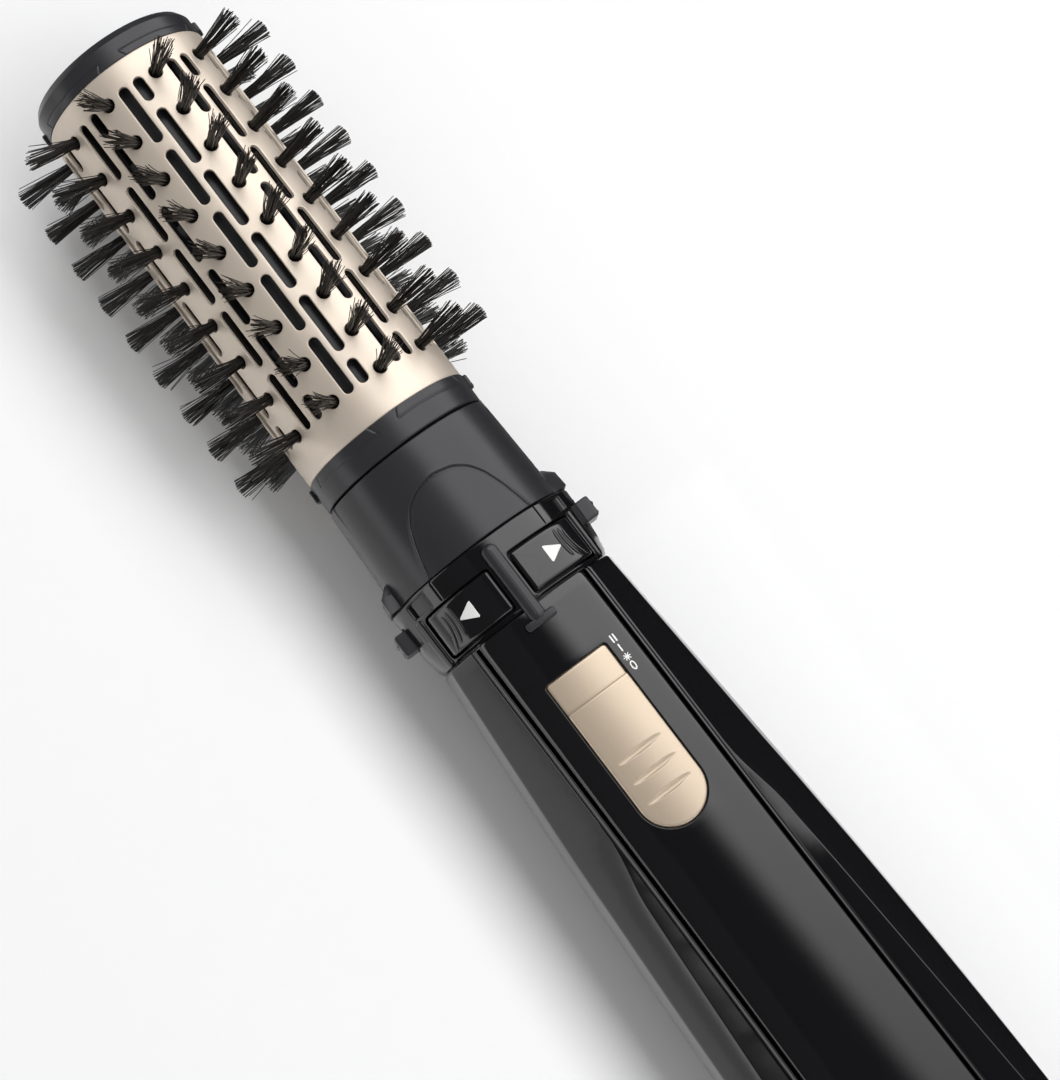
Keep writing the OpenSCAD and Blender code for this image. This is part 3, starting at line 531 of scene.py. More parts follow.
def distance(px, py, line):
    """Distance from points to an open line."""
    best = np.full(np.broadcast(px, py).shape, 1e9)
    for a, b in zip(line, line[1:]):
        d = b - a
        if float(d @ d) < 1e-12:
            continue
        t = np.clip(((px - a[0]) * d[0] + (py - a[1]) * d[1]) / float(d @ d), 0, 1)
        best = np.minimum(best, (px - a[0] - t * d[0]) ** 2 + (py - a[1] - t * d[1]) ** 2)
    return np.sqrt(best)


piece = Piece("collar")
x_lines = lines([COLLAR_REAR, -34.08, -33.9, -30.6, -30.2, -28.6, -28.2, -15.6, -8.4, -8.0, -7.82, COLLAR_FRONT],
                0.2)
x_lines = x_lines[(x_lines < -15.6) | (np.arange(len(x_lines)) % 4 == 0) | (x_lines > -8.5)]
lug_edge = math.degrees(math.asin(7.0 / 24.0))
a_stops = [np.arange(-42, 42.01, 0.5), [318]]
for edge in (90 - lug_edge, 90 + lug_edge, 270 - lug_edge, 270 + lug_edge):
    a_stops.append(np.arange(edge - 3, edge + 3.01, 0.35))
a_lines = lines(np.concatenate(a_stops), 2.5)
a_lines = a_lines[a_lines < 317.9]
X, A = np.meshgrid(x_lines, a_lines, indexing="ij")
R = np.interp(X, [COLLAR_REAR, -10.7, COLLAR_FRONT], [22.2, 21.4, 21.2])
end_round = 0.28 * (1 - np.sqrt(np.clip(1 - np.clip((X + 8.2) / 0.5, 0, 1) ** 2, 0, 1)))
end_round += 0.2 * (1 - np.sqrt(np.clip(1 - np.clip((-33.9 - X) / 0.3, 0, 1) ** 2, 0, 1)))
wrapped = (A + 180) % 360 - 180
gap_to_arch = distance(X, np.radians(wrapped) * 22, arch_line)
R = R - end_round - 0.28 * (1 - smooth(0.10, 0.26, gap_to_arch)) + 0.07 * bump(gap_to_arch, 0.42, 0.05, 0.3)
lug_y = np.interp(X, [-34.2, -30.4, -28.4, -28.0], [24.2, 23.9, 21.7, 20.5])
for centre in (90, 270):
    tilt = np.radians(np.clip(A - centre, -60, 60))
    flat = lug_y / np.cos(tilt)
    height_here = np.abs(flat * np.sin(tilt))
    share = (1 - smooth(6.6, 7.1, height_here)) * (np.abs(A - centre) < 40)
    R = np.where(flat > R, R + (flat - R) * share, R)
piece.sheet(around(X, A, R), wrap=True)
bore = [(COLLAR_FRONT, 20.9), (-7.75, 19.6), (-9.7, 19.4), (-9.7, 17.5), (-19.5, 17.5), (-19.5, 20.0),
        (-34.0, 20.4), (COLLAR_REAR, 20.6)]
front_loop, rear_loop = around(X[-1], A[-1], R[-1]), around(X[0], A[0], R[0])
piece.sheet([front_loop] + [around(x, a_lines, r) for x, r in bore] + [rear_loop], wrap=True)
piece.make("head", satin, ["collar"])

# ---- control ring
RING_R, RING_BORE = 22.6, 20.4
RING_FULL = 2 * math.pi * RING_R


def ring_surface(x, angle, drop=0.0):
    """Radius of the control ring's skin, which swells at the sides."""
    swell = np.interp(x, [-52, -50, -46, -36, -34.5], [0.0, 0.5, 1.2, 1.6, 1.6])
    off = np.abs(angle % 180 - 90)
    return RING_R + swell * np.cos(np.radians(np.clip(off / 34 * 90, 0, 90))) ** 2 - drop


def ring_point(u, v, drop):
    angle = np.degrees(v / RING_R)
    edge = 0.6 * smooth(0.95, 0, u + 52) + 0.3 * smooth(0.35, 0, -34.5 - u)
    groove = 0.32 * bump(np.abs((angle + 180) % 360 - 180), 38.3, 0.35, 0.3) * (u > -40.3)
    return around(u, angle, np.where(drop < 0.3, ring_surface(u, angle, drop) - edge - groove, RING_BORE))


def button_domain(outline):
    return np.stack([outline[:, 0], -RING_R * np.arcsin(np.clip(outline[:, 1] / RING_R, -1, 1))], 1)


def shifted(outline):
    flat = button_domain(outline)
    flat[:, 1] = np.where(flat[:, 1] < 0, flat[:, 1] + RING_FULL, flat[:, 1])
    return flat


def button_hole(outline, drop):
    r = np.where(drop < 2.1, RING_R - drop, RING_BORE)
    return over(outline, np.sqrt(np.maximum(r ** 2 - outline[:, 1] ** 2, 0.01)))


def side_of(sign):
    def domain(outline):
        rise = np.arcsin(outline[:, 1] / 24.0)
        return np.stack([outline[:, 0], RING_R * (1.5 * math.pi + rise if sign > 0 else math.pi / 2 - rise)], 1)

    def place(outline, drop):
        x, z = outline.T
        r = np.where(drop < 2.5, ring_surface(x, 90.0, drop), RING_BORE)
        return np.stack([x, sign * np.sqrt(np.maximum(r ** 2 - z ** 2, 0.01)), z], 1)
    return domain, place


def frame_domain(sign):
    def domain(outline):
        v = sign * outline[:, 1]
        return np.stack([outline[:, 0], np.where(v < 0, v + RING_FULL, v)], 1)

    def place(outline, drop):
        angle = np.degrees(sign * outline[:, 1] / RING_R)
        return around(outline[:, 0], angle, ring_surface(outline[:, 0], angle) - drop)
    return domain, place


piece = Piece("control_ring")
soft_edge = [(0.3, 0), (0.2, 0.02), (0.06, 0.1), (0, 0.28), (0, 2.2)]
holes = []
for sign in (1, -1):
    outline = rectangle((-50.95, -39.85), sorted((sign * 2.55, sign * 19.3)), 0.9, 5, 1.5)
    holes.append((outline, soft_edge, shifted if sign > 0 else button_domain, button_hole))
    outline = rectangle((-44.0, -38.0), (-4.6, 4.6), 0.9, 5, 1.5)
    holes.append((outline, soft_edge[:-1] + [(0, 2.6)], *side_of(sign)))


def arc_at(degrees):
    return math.radians(degrees % 360) * RING_R


v_stops = []
for sign in (1, -1):
    for y in (2.55 - 0.9, 19.3 + 0.9):
        v_stops.append(arc_at(-sign * math.degrees(math.asin(y / RING_R))))
    v_stops += [arc_at(sign * a) for a in (36.9, 37.3, 37.7, 37.95, 38.3, 38.65, 38.9, 39.3, 39.7, 44.5, 67.5)]
    v_stops += [arc_at(sign * a) for a in (90 - 15, 90 + 15)]
vs = lines(v_stops + [0, RING_FULL], 1.2)[:-1]
xs = lines([-52, -51.9, -51.75, -51.58, -51.42, -45.2, -44.9, -40.7, -40.3, -39.35, -37.0, -34.95, -34.85, -34.7,
            -34.6, -34.5], 1.2)
U, V = np.meshgrid(xs, vs, indexing="ij")
for sign in (1, -1):
    outline = rectangle((-38.75, -35.25), (arc_at(46.5), arc_at(65.5)), 0.5, 4, 1.2)
    holes.append((outline, [(0.22, 0), (0.14, 0.01), (0.04, 0.08), (0, 0.22), (0, 0.9)], *frame_domain(sign)))
frames = holes[-2:]
holed(piece, U, V, ring_point, holes, 2.2, period=RING_FULL)
for outline, levels, domain, place in frames:
    middle = np.mean(outline, 0)
    piece.sheet([place(outline + (middle - outline) * t, 0.9) for t in (0, 0.3, 0.6, 0.9, 1)], wrap=True)
for sign in (1, -1):
    low, high = arc_at(60.9), arc_at(67.2)
    outline = rectangle((-51.8, -39.2), (low, high), 1.1, 6, 0.6)

    def rim_surface(xy, height):
        angle = sign * np.degrees(xy[:, 1] / RING_R)
        return around(xy[:, 0], angle, ring_surface(xy[:, 0], angle) + height)

    piece.pad(outline, rim_surface, [(0, -0.7), (0, 0.1), (0.08, 0.3), (0.25, 0.48), (0.5, 0.58), (0.8, 0.62)],
              [(-50.6, (low + high) / 2), (-40.4, (low + high) / 2)], 4)
angles = np.degrees(vs / RING_R)
front, rear = (ring_point(np.full(len(vs), x), vs, 0) for x in (-34.5, -52.0))
piece.sheet([front, around(-34.5, angles, RING_BORE)], wrap=True)
tail = [(-52, 20.5), (-52.1, 20.3), (-55.8, 20.3), (-56, 20.1), (-56, 18.9), (-51.5, 18.9), (-51, 19.1),
        (-51, RING_BORE)]
piece.sheet([rear] + [around(x, angles, r) for x, r in tail], wrap=True)
piece.sheet([around(x, angles, RING_BORE) for x in (-51, -52)], wrap=True)
piece.make("handle", gloss, ["control_ring"], sharp=42)


# ---- spin buttons, arrows, release buttons
def bead(piece, start, middle, end, width, height, surface):
    """A raised rib with tapered ends, curved through three points of a surface."""
    start, middle, end = (np.asarray(point, float) for point in (start, middle, end))
    t = np.linspace(0, 1, 25)[:, None]
    path = (1 - t) ** 2 * start + 2 * t * (1 - t) * (2 * middle - (start + end) / 2) + t ** 2 * end
    ahead = np.gradient(path, axis=0)
    ahead /= np.linalg.norm(ahead, axis=1, keepdims=True)
    side = np.stack([-ahead[:, 1], ahead[:, 0]], 1)
    taper = np.sqrt(np.clip(1 - (2 * t[:, 0] - 1) ** 6, 0.01, 1))
    rows = []
    for turn in np.radians(np.arange(0, 181, 20)):
        across = path + side * (math.cos(turn) * width / 2 * taper)[:, None]
        rows.append(surface(across, height * math.sin(turn) * taper - 0.03))
    piece.sheet(rows)


COIL_R, COIL_TURNS, WIRE_R = 1.7, 4, 0.3
ribs = []
for k in range(3):
    t = k / 2
    ribs.append(((-41.4 - 0.6 * t, 14.3 + 2.05 * t), (-45.3 - 0.75 * t, 14.15 + 2.35 * t),
                 (-48.7 - 1.5 * t, 14.65 + 3.2 * t)))
for side, sign, body in (("left", 1, "rotate_button_left"), ("right", -1, "rotate_button_right")):
    piece = Piece(f"spin_button_{side}")
    outline = rectangle((-50.5, -40.3), (2.95, 18.9), 0.7, 6, 0.22)

    def surface(xy, height):
        r = 23.4 + height
        return np.stack([xy[:, 0], sign * xy[:, 1], np.sqrt(np.maximum(r ** 2 - xy[:, 1] ** 2, 0.01))], 1)

    crown = [(0, -1.5), (0, -0.75), (0.06, -0.5), (0.2, -0.27), (0.42, -0.1), (0.65, -0.02), (0.85, 0)]
    piece.pad(outline, surface, crown, [(-45.4, 8.2), (-45.4, 13.6)], 20)
    for start, middle, end in ribs:
        bead(piece, start, middle, end, 0.75, 0.3, surface)
    piece.make(body, gloss, [f"rotate_button_{side}"], sharp=60)

    piece = Piece(f"arrow_print_{side}")
    outline = fillet([(-47.55, 9.75), (-43.05, 9.75), (-45.2, 13.85)], 0.28, 4, 0.5)
    piece.pad(outline, surface, [(0, -0.15), (0, 0.03), (0.05, 0.06)], [(-45.25, 10.9), (-45.25, 11.6)], 8)
    piece.make(body, white_print, [f"arrow_{side}"], sharp=60)

    piece = Piece(f"release_pad_{side}")
    outline = rectangle((-43.6, -38.4), (-4.2, 4.2), 0.5, 5, 0.3)

    def side_surface(xy, height):
        dome = 0.35 * (1 - ((xy[:, 0] + 41) / 2.6) ** 2) * (1 - (xy[:, 1] / 4.2) ** 2)
        ridge = 0.0 if height < -0.01 else 0.28 * np.clip(np.sin((xy[:, 0] + 41) / 1.25 * math.pi), 0, 1)
        fade = bump(xy[:, 1], 0, 2.6, 0.8) * bump(xy[:, 0], -41, 1.8, 0.5)
        y = 26.65 + height + (dome + ridge * fade if height > -0.01 else 0)
        return np.stack([xy[:, 0], sign * np.asarray(y) * np.ones(len(xy)), xy[:, 1]], 1)

    piece.pad(outline, side_surface, [(0, -7.0), (0, -0.8), (0.05, -0.35), (0.2, -0.1), (0.45, 0)],
              [(-41, -1.6), (-41, 1.6)], 14)
    arm = rectangle((-3.5, 3.5), (18.0, 19.6), 0.25, 3, 1.5)
    loops = []
    for x, shrink in ((-43.9, 0.2), (-43.7, 0), (-29.0, 0), (-28.0, 0.35), (-27.7, 0.5)):
        loop = offset(arm, -shrink)
        loops.append(np.stack([np.full(len(loop), x), sign * loop[:, 1], loop[:, 0]], 1))
    piece.stack(loops, True, True)
    piece.make(f"release_button_{side}", satin, [f"release_button_{side}"], sharp=45)

    coil_low, coil_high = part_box(f"release_spring_{side}")
    near, far = sorted((abs(coil_low.y), abs(coil_high.y)))
    length = (far - near) / MM - 2 * WIRE_R
    piece = Piece(f"release_coil_{side}")
    loops = []
    for t in np.linspace(0, 1, 24 * COIL_TURNS + 1):
        turn = 2 * math.pi * COIL_TURNS * t
        out, up = np.array([math.cos(turn), 0, math.sin(turn)]), np.array([0, 1, 0])
        middle = COIL_R * out + [-41, sign * (near / MM + WIRE_R + length * t), 0]
        loops.append([middle + WIRE_R * (math.cos(a) * out + math.sin(a) * up)
                      for a in np.radians(range(0, 360, 30))])
    piece.stack(loops, True, True)
    coil = piece.make("handle", spring_steel, [f"release_spring_{side}"], sharp=60)
    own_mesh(coil)

# ---- handle sections
FRONT, REAR, TOP = -52.3, -216.0, 22.6
WALL, BOXY = 2.0, 2.2   # wall of the covers, and the exponent that makes the sections a little square
SEAM_GAP = 0.35         # half the gap between the top cover and a side shell


def widening(x):
    return np.sin(np.pi / 2 * np.clip((FRONT - x) / (FRONT - REAR), 0, 1))


def half_w(x):
    return 22.8 + 6.8 * widening(x)


def belly(x):
    return TOP + 3.4 * widening(x)


def top_z(x, y, inset=0.0):
    share = np.clip(np.abs(y) / (half_w(x) - inset), 0, 0.99999)
    return (TOP - inset) * (1 - share ** BOXY) ** (1 / BOXY)


def cover_edge(x):
    return 14.4 + 1.0 * (np.maximum(0, -110 - x) / 106) ** 1.3


# ---- ridge with its cross bar
piece = Piece("centre_ridge")
outline = rectangle((-56.2, -35.8), (-1.95, 1.95), 1.94, 10, 0.5)


def ridge_surface(xy, height):
    return over(xy, TOP - 0.1 + height)


swell = [(1.93 * (1 - math.cos(a)), 0.1 + 1.45 * math.sin(a)) for a in np.radians(np.arange(0, 84, 9))]
piece.pad(outline, ridge_surface, [(0, -0.4)] + swell, [(-54.25, 0), (-37.75, 0)], 3)
outline = rectangle((-56.8, -54.8), (-3.8, 3.8), 0.6, 5, 0.4)


def tee_surface(xy, height):
    return over(xy, top_z(-56.0, xy[:, 1]) + height)


piece.pad(outline, tee_surface, [(0, -0.25), (0, 0.45), (0.06, 0.66), (0.18, 0.83), (0.36, 0.93), (0.55, 0.96)],
          [(-55.8, -2.9), (-55.8, 2.9)], 5)
piece.make("handle", satin, ["centre_ridge"], sharp=50)

# ---- top cover with the slider's window
piece = Piece("top_cover")
stations = lines([FRONT, FRONT - 0.12, FRONT - 0.4, -66.2, -110.8, REAR + 0.4, REAR + 0.12, REAR], 2.5)
shares = lines([-1, -0.83, -0.62, 0, 0.62, 0.83, 1], 0.045)
U = np.repeat(stations[:, None], len(shares), 1)
V = shares[None, :] * (cover_edge(stations) - SEAM_GAP - 0.45)[:, None]
RIM = [(0.45, 0), (0.28, 0.02), (0.12, 0.1), (0.02, 0.26), (0, 0.5), (0.1, 2.0), (0.45, 2.0)]


def edge_roll(x, y):
    """How far the cover's skin has rolled down at y, over its last few millimetres."""
    into = np.clip(np.abs(y) - (cover_edge(x) - SEAM_GAP - 1.5), 0, 1.5)
    return 3.2 - np.sqrt(3.2 ** 2 - into ** 2)


def cover_point(x, y, drop):
    end = 0.25 * (smooth(0.4, 0, np.abs(x - FRONT)) + smooth(0.4, 0, np.abs(x - REAR)))
    z = top_z(x, y) - np.where(drop < 0.5, end, 0) - drop - edge_roll(x, y)
    return np.stack(np.broadcast_arrays(x, y, z), -1)


def cover_rim(x, sign):
    return [cover_point(x, sign * (float(cover_edge(x)) - SEAM_GAP - inset), drop) for inset, drop in RIM]


window = rectangle((-109.2, -67.7), (-8.15, 8.15), [8.14, 0.9, 0.9, 8.14], 16, 1.5)
window_edge = [(0.3, 0), (0.2, 0.015), (0.06, 0.09), (0, 0.25), (0, 2.0)]
holed(piece, U, V, cover_point, [(window, window_edge)], 2.0)
for sign in (-1, 1):
    piece.sheet([cover_rim(x, sign) for x in stations])
for x in (FRONT, REAR):
    piece.sheet([cover_point(x, shares * (cover_edge(x) - SEAM_GAP - 0.45), drop) for drop in (0, 2.0)])
    for sign in (-1, 1):
        piece.add(np.array(cover_rim(x, sign)), [list(range(7))])
piece.make("handle", gloss, ["top_cover"], sharp=40)


# ---- side shells
def belly_corner(w, h, k):
    """Point k of 15 along the lower quarter of a section, from the side to just short of the middle."""
    turn = math.pi / 2 * k / 15
    return max(0.12, w * math.cos(turn) ** (2 / BOXY)), -h * math.sin(turn) ** (2 / BOXY)


def shell_section(x, sign):
    """Closed outline (y, z) of a side shell: lip along the cover, wedge, flat panel, rim, belly and inner wall."""
    e = float(cover_edge(x)) + SEAM_GAP
    w = float(half_w(x))
    lip = e + 1.0
    lip_z = float(top_z(x, e)) - 0.45 - 1.1
    rear = float(smooth(-100, -118, x))
    depth = 0.3 + 1.9 * float(np.clip((-103 - x) / 91, 0, 1.2)) ** 0.9
    crease = lip + 0.42 + (17.7 - lip - 0.42 + 5.4 * float(np.clip((-103.5 - x) / 90.5, 0, 1.3)) ** 0.95) * rear
    valley_z = lip_z - depth
    fall = sign * 0.1 + (0.13 - sign * 0.1) * float(smooth(-120, -136, x))
    crease_z = (1 - rear) * (lip_z - 0.4) + rear * (valley_z + fall * (crease - lip - 0.3))
    rim_y = w - 1.3
    rim_z = crease_z - 1.17 * (rim_y - crease)
    low = [belly_corner(w, float(belly(x)), k) for k in range(1, 16)]
    outer = [(e, float(top_z(x, e)) - 0.45), (lip, lip_z), (lip + 0.06, valley_z), (lip + 0.3, valley_z),
             (crease, crease_z), (rim_y, rim_z), (w, min(rim_z - 3.0, 3.0)), (w, 0.0)] + low
    wi, ti, bi = w - WALL, TOP - WALL, float(belly(x)) - WALL
    inner = [belly_corner(wi, bi, k) for k in range(15, 0, -1)] + [(wi, 0.0)]
    inner += [(share * wi, ti * (1 - share ** BOXY) ** (1 / BOXY)) for share in (0.985, 0.9)]
    inner += [(e + 1.2, float(top_z(x, e + 1.2)) - 3.6), (e + 0.1, float(top_z(x, e)) - 2.8)]
    radii = [0.22, 0.22, 0.05, 0.05, 0.3, 2.4, 4.0, 5.0] + [2.5] * 14 + [0.05] * 2 + [2.5] * 14
    radii += [2, 2, 1, 0.3, 0.3]
    return fillet(outer + inner, radii, 4)


for side, sign, node in (("left", 1, "left_shell"), ("right", -1, "right_shell")):
    piece = Piece(f"side_shell_{side}")
    stations = lines([FRONT, FRONT - 0.15, FRONT - 0.4, -100, -103, REAR + 0.4, REAR + 0.15, REAR], 3)
    loops = []
    for x in stations:
        flat = shell_section(x, sign)
        inset = 0.25 * float(smooth(0.4, 0, abs(x - FRONT)) + smooth(0.4, 0, abs(x - REAR)))
        if inset:
            flat = flat - inset * flat / np.linalg.norm(flat, axis=1, keepdims=True)
        loops.append(np.stack([np.full(len(flat), x), sign * flat[:, 0], flat[:, 1]], 1))
    piece.sheet(loops, wrap=True)
    for loop in (loops[0], loops[-1]):
        m = len(loop)
        piece.add(loop, [[k, k + 1, m - 2 - k, m - 1 - k] for k in range(m // 2 - 1)])
    piece.make("handle", gloss, [node], sharp=40)

# ---- thumb slider, its plate and the setting marks
CROWN_R, CROWN_Z = 36.0, 23.4 - 36.0


def crown(xy, height):
    return over(xy, CROWN_Z + np.sqrt((CROWN_R + height) ** 2 - xy[:, 1] ** 2))


def thumb_surface(xy, height):
    place = crown(xy, height)
    if height > -0.05:
        for k in range(3):
            away = np.clip(np.abs(xy[:, 0] + 90.4 + 5.2 * k), 0, 0.9)
            floor = 23.84 - np.sqrt(np.maximum(0.9 ** 2 - away ** 2, 0))
            place[:, 2] = np.minimum(place[:, 2], np.where(away > 0.88, 99, floor))
    return place


piece = Piece("thumb_slider")
outline = rectangle((-108.9, -75.7), (-7.85, 7.85), [7.84, 0.5, 0.5, 7.84], 40, 0.16)
piece.pad(outline, thumb_surface, [(0, -0.9), (0, -0.42), (0.08, -0.2), (0.3, -0.04), (0.5, 0)],
          [(-101.05, 0), (-83.55, 0)], 44)
peg = rectangle((-90, -87), (-1.4, 1.4), 0.3, 3, 1)
piece.stack([over(peg, z) for z in (16.3, 22.6)], True, True)
piece.make("power_slider", slider_gold, ["power_slider"], sharp=50)

piece = Piece("slider_plate")
slot_line = rectangle((-90.4, -79.4), (-1.7, 1.7), 0.4, 4, 1.5)
plate_xs = lines([-114, -92.4, -77.4, -63], 3)
plate_ys = lines([-9, -3.0, 3.0, 9], 2)
U, V = np.meshgrid(plate_xs, plate_ys, indexing="ij")


def plate_point(u, v, drop):
    return np.stack(np.broadcast_arrays(u, v, 19.0 - drop), -1)


holed(piece, U, V, plate_point, [(slot_line, [(0.02, 0), (0, 0.1), (0, 1.0)])], 1.0)
border = np.array([(a, -9) for a in plate_xs] + [(-63, b) for b in plate_ys[1:]]
                  + [(a, 9) for a in plate_xs[-2::-1]] + [(-114, b) for b in plate_ys[-2:0:-1]])
piece.sheet([over(border, z) for z in (18, 19)], wrap=True)
shown = rectangle((-77.6, -67.95), (-7.85, 7.85), [0.3, 0.75, 0.75, 0.3], 6, 0.5)


def plate_crown(xy, height):
    return over(xy, 18.9) if height < -1 else crown(xy, height - 1.22)


piece.pad(shown, plate_crown, [(0, -2), (0, -0.35), (0.1, -0.1), (0.3, 0)], [(-72.8, -3.4), (-72.8, 3.4)], 12)
piece.make("handle", slider_gold, ["slider_plate"], sharp=40)

piece = Piece("setting_marks")


def mark_surface(place_x, place_y, turn=0.0):
    c, s = math.cos(turn), math.sin(turn)

    def surface(xy, height):
        x = place_x + c * xy[:, 0] - s * xy[:, 1]
        y = place_y + s * xy[:, 0] + c * xy[:, 1]
        return np.stack([x, y, top_z(x, y) + height], 1)
    return surface


def bar(length, width):
    return rectangle((-length / 2, length / 2), (-width / 2, width / 2), width * 0.45, 3, 0.3)


mark_edge = [(0, -0.08), (0, 0.02), (0.03, 0.04)]
MARK_Y = -10.1
for x, y, length, turn in (
    (-68.2, MARK_Y - 0.39, 1.95, 0), (-68.2, MARK_Y + 0.39, 1.95, 0), (-70.7, MARK_Y, 1.95, 0),
    (-73.1, MARK_Y, 1.9, 0), (-73.1, MARK_Y, 1.9, math.pi / 4), (-73.1, MARK_Y, 1.9, math.pi / 2),
    (-73.1, MARK_Y, 1.9, 3 * math.pi / 4),
):
    width = 0.24 if length < 1.92 else 0.38
    piece.pad(bar(length, width), mark_surface(x, y, turn), mark_edge,
              [(-length / 2 + 0.1, 0), (length / 2 - 0.1, 0)], 2, bottom=False)
turn = np.radians(np.arange(0, 360, 12))
zero = np.stack([1.1 * np.cos(turn), 0.66 * np.sin(turn)], 1)
place = mark_surface(-75.35, MARK_Y)
piece.stack([place(zero, -0.08), place(zero, 0.02), place(zero * 0.97, 0.04), place(zero * [0.71, 0.52], 0.04),
             place(zero * [0.69, 0.49], -0.08)])
piece.make("handle", white_print, ["setting_marks"], sharp=60)

# ---- rear cap and cord swivel
CAP_FRONT, CAP_LEN, CAP_ARC = -216.1, 16.0, 20.0
CAP_REAR = CAP_FRONT - CAP_LEN


def cap_point(run, angle, drop):
    """run goes from 0 at the cap's front edge to CAP_ARC at its rear face, angle in degrees from the top."""
    t, angle, drop = np.broadcast_arrays(*(np.asarray(v, float) for v in (run, angle, drop)))
    t = t / CAP_ARC
    scale = 0.45 + 0.55 * np.cos(np.pi / 2 * t)
    a = np.radians(angle)
    c, s = np.cos(a), np.sin(a)
    up = np.where(c > 0, TOP, belly(REAR))
    shape = (np.abs(s / half_w(REAR)) ** BOXY + np.abs(c / up) ** BOXY) ** (-1 / BOXY)
    r = shape * scale - drop
    edge = 0.2 * smooth(0.03, 0, t)
    return np.stack([CAP_FRONT - (CAP_LEN - np.minimum(drop, 2.0)) * np.sin(np.pi / 2 * t), -(r - edge) * s,
                     (r - edge) * c], -1)


piece = Piece("rear_cap")
holes = []
for k in range(10):
    loop = fillet([(7.2, -1.9), (16, -3.2), (16, 3.2), (7.2, 1.9)], 1.5, 6, 0.8) + [0, 18 + 36 * k]
    holes.append((loop, [(0.4, 0), (0.14, 0.07), (0, 0.3), (0, 2.0)]))
runs = lines([0, 0.2, 0.6, 6.4, 16.8, 19, CAP_ARC], 1.0)
angles = lines([a for k in range(10) for a in (36 * k + 18 - 4.2, 36 * k + 18 + 4.2)] + [0, 360], 2)[:-1]
U, V = np.meshgrid(runs, angles, indexing="ij")
holed(piece, U, V, cap_point, holes, 2.0, period=360)
rear_rim = cap_point(CAP_ARC, angles, 0)
hub = [around(CAP_REAR + ahead, angles, r) for ahead, r in ((0.1, 8.4), (0.3, 8.1), (2.2, 8.05))]
middle_ring = rear_rim + (hub[0] - rear_rim) * 0.6
middle_ring[:, 0] = CAP_REAR
piece.sheet([rear_rim, middle_ring] + hub, wrap=True)
inner_rim = cap_point(CAP_ARC, angles, 2.0)
piece.sheet([hub[-1], inner_rim], wrap=True)
front_rim, front_inner = cap_point(0.0, angles, 0), cap_point(0.0, angles, 2.0)
lip = front_inner - (front_inner * [0, 1, 1]) * 0.008
lips = [lip * [1, share, share] + [ahead, 0, 0]
        for share, ahead in ((1, 0), (1, 3.8), (0.99, 4), (0.94, 4), (0.93, 0))]
piece.sheet([front_rim] + lips, wrap=True)
piece.make("handle", satin, ["rear_cap"], sharp=40)

piece = Piece("cord_swivel")
profile = fillet([(4.2, 3.6), (4.2, 9.6), (2.4, 9.6), (2.4, 8.0), (-0.4, 8.0), (-0.4, 8.8), (-1.6, 8.8),
                  (-2.0, 7.4), (-4.4, 6.9), (-4.7, 6.4), (-5.5, 6.4), (-5.8, 6.75), (-7.2, 6.4), (-7.5, 5.9),
                  (-8.3, 5.9), (-8.6, 6.1), (-10.2, 5.9), (-11, 5.1), (-11, 3.6)],
                 [0.2, 0.3, 0.3, 0.1, 0.1, 0.4, 0.5, 0.3, 0.4, 0.2, 0.2, 0.3, 0.4, 0.2, 0.2, 0.3, 0.6, 0.4, 0.4],
                 3) + [CAP_REAR, 0]
piece.lathe(np.vstack([profile, profile[:1]]))
piece.make("cord_swivel", satin, ["cord_swivel"], sharp=45)


# ---- floor, light and camera
def to_row(point):
    return ((point[0] + SEAM) * MM, point[1] * MM, (point[2] + AXIS) * MM)


def floor_z(x):
    """The ground leans a little, from the lowest tufts near the barrel's rear to the belly's rear."""
    low, high = (9.3, -AXIS), (-215.0, -26.0)
    return low[1] + (high[1] - low[1]) * (x - low[0]) / (high[0] - low[0])


def strip(start, end, span=(-700, 700)):
    """Corners of a strip along X between two (y, z) points."""
    return [(x, y, z) for x, (y, z) in ((span[0], start), (span[1], start), (span[1], end), (span[0], end))]


def on_floor(y0, y1, span=(-700, 700)):
    """Corners of a strip along X that lies on the floor between two values of y."""
    return [(x, y, floor_z(x) + 0.8) for x, y in ((span[0], y0), (span[1], y0), (span[1], y1), (span[0], y1))]


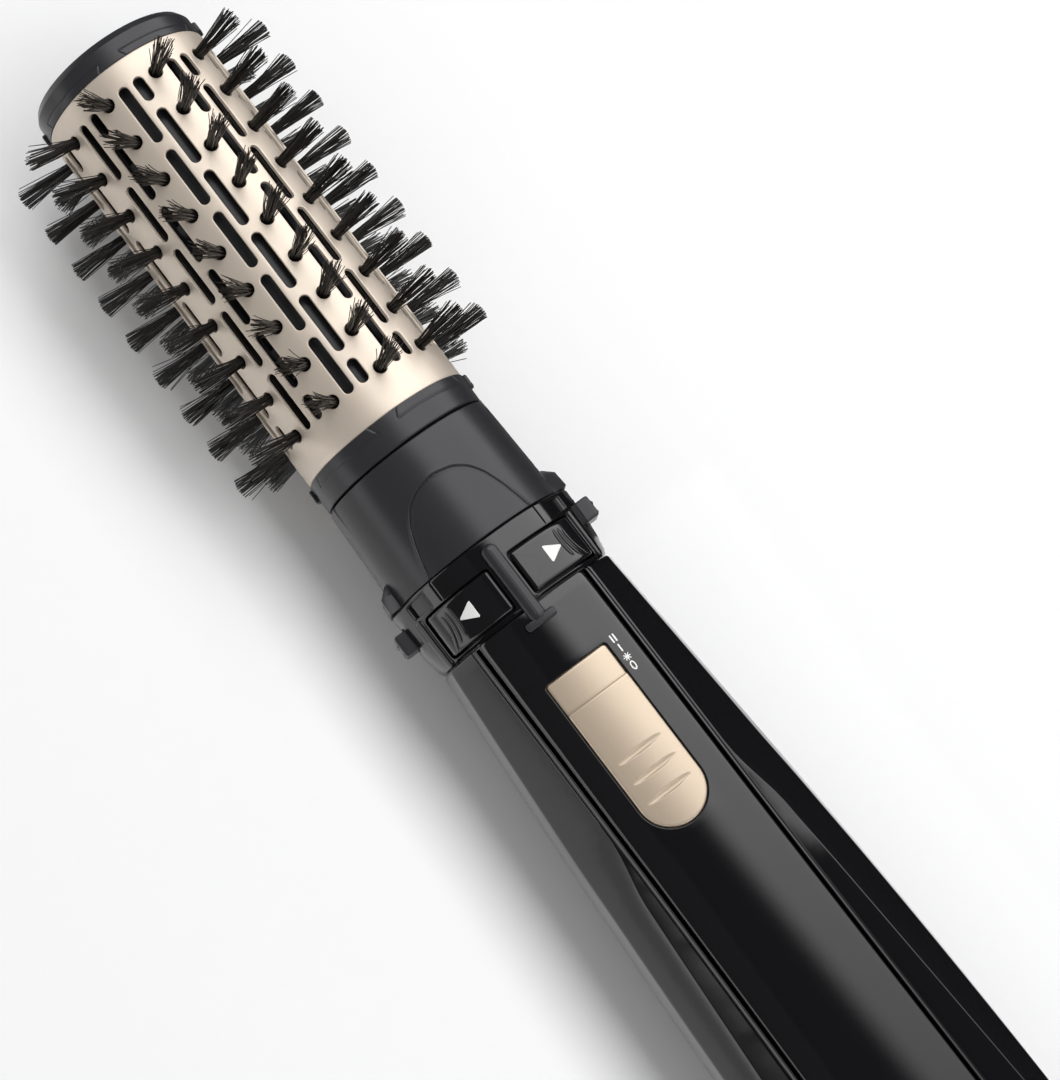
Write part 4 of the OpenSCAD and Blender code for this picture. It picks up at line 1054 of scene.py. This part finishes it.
def card(name, corners, strength, fade=None, skew=0.0, slope=None):
    """A card that shows only in reflections. Its glow fades in between two values of y, on lines skewed along X,
    and slope (x0, share0, x1, share1) varies it along X."""
    obj = new_mesh(name, [to_row(corner) for corner in corners], [[0, 1, 2, 3]])
    m = bpy.data.materials.new(name)
    m.use_nodes = True
    nodes, link = m.node_tree.nodes, m.node_tree.links.new
    nodes.clear()
    out, glow = nodes.new("ShaderNodeOutputMaterial"), nodes.new("ShaderNodeEmission")
    glow.inputs["Strength"].default_value = strength
    link(glow.outputs["Emission"], out.inputs["Surface"])
    if fade:
        kinds = ("ShaderNodeTexCoord", "ShaderNodeSeparateXYZ", "ShaderNodeMath", "ShaderNodeMapRange",
                 "ShaderNodeMapRange", "ShaderNodeMath")
        where, split, skewed, ramp, side, product = (nodes.new(kind) for kind in kinds)
        skewed.operation, product.operation = "MULTIPLY_ADD", "MULTIPLY"
        ramp.interpolation_type = "SMOOTHERSTEP"
        for node, key, value in (
            (skewed, 1, -skew), (ramp, "From Min", (fade[0] - skew * SEAM) * MM),
            (ramp, "From Max", (fade[1] - skew * SEAM) * MM), (ramp, "To Max", strength),
            (side, "From Min", (slope[0] + SEAM) * MM), (side, "From Max", (slope[2] + SEAM) * MM),
            (side, "To Min", slope[1]), (side, "To Max", slope[3]),
        ):
            node.inputs[key].default_value = value
        for giver, output, taker, key in (
            (where, "Object", split, "Vector"), (split, "X", skewed, 0), (split, "Y", skewed, 2),
            (skewed, "Value", ramp, "Value"), (split, "X", side, "Value"), (ramp, "Result", product, 0),
            (side, "Result", product, 1), (product, "Value", glow, "Strength"),
        ):
            link(giver.outputs[output], taker.inputs[key])
    obj.data.materials.append(m)
    obj.visible_camera = obj.visible_shadow = obj.visible_transmission = obj.visible_diffuse = False


REACH_OUT = 3000.0   # half the floor's side
corners = [(x, y, floor_z(x)) for x, y in ((-REACH_OUT, -REACH_OUT), (REACH_OUT, -REACH_OUT),
                                           (REACH_OUT, REACH_OUT), (-REACH_OUT, REACH_OUT))]
floor = new_mesh("floor", [to_row(corner) for corner in corners], [[0, 1, 2, 3]])
floor.data.materials.append(finish_of("floor_white", (0.93, 0.93, 0.935), 0.85, grain=0.01, grain_size=0.8,
                                      mottle=0.01))


def area(name, place, width, height, power):
    """A soft light that looks at the seam between barrel and handle. The cards do its reflections."""
    light = bpy.data.lights.new(name, "AREA")
    light.shape, light.size, light.size_y, light.energy = "RECTANGLE", width, height, power
    obj = bpy.data.objects.new(name, light)
    bpy.context.scene.collection.objects.link(obj)
    place, target = Vector(to_row(place)), Vector(to_row((-60, 0, 0)))
    obj.location = place
    obj.rotation_euler = (target - place).to_track_quat("-Z", "Y").to_euler()
    obj.visible_glossy = obj.visible_camera = False


world = bpy.data.worlds.new("world")
bpy.context.scene.world = world
world.use_nodes = True
sky = world.node_tree.nodes["Background"].inputs
sky["Color"].default_value, sky["Strength"].default_value = (1, 1, 1, 1), 0.05

area("key", (-60, -660, 1580), 2.6, 0.68, 32.3)
area("fill", (-60, 380, 1800), 4.0, 2.8, 19.8)
card("key_reflection", strip((300, 900), (-900, -60)), 2.1, fade=(5, -195), skew=0.22, slope=(-320, 0.5, 50, 1.2))
card("far_card", strip((600, 215), (600, 25)), 1.7)
card("far_card_low", strip((600, 25), (600, -30)), 0.6)
card("floor_flag", on_floor(-60, -620), 0.0)
card("near_flag_head", on_floor(-3, -60, span=(-46, 700)), 0.12)
card("near_flag_handle", on_floor(-20, -60, span=(-700, -46)), 0.9)
card("rear_card", [(-760, -260, 40), (-760, 260, 40), (-760, 260, 420), (-760, -260, 420)], 1.6)

EYE = (-90.53, 54.02, 562.89)
EYE_TURN = (8.151, -2.091, -127.158)   # degrees about X, Y and Z
camera = bpy.data.cameras.new("camera")
camera.sensor_fit, camera.sensor_height, camera.sensor_width = "VERTICAL", 36, 36
camera.lens = 84.97
camera.clip_start, camera.clip_end = 0.01, 20
eye = bpy.data.objects.new("camera", camera)
bpy.context.scene.collection.objects.link(eye)
eye.location = to_row(EYE)
eye.rotation_euler = [math.radians(angle) for angle in EYE_TURN]
bpy.context.scene.camera = eye
bpy.context.scene.view_settings.view_transform = "Standard"
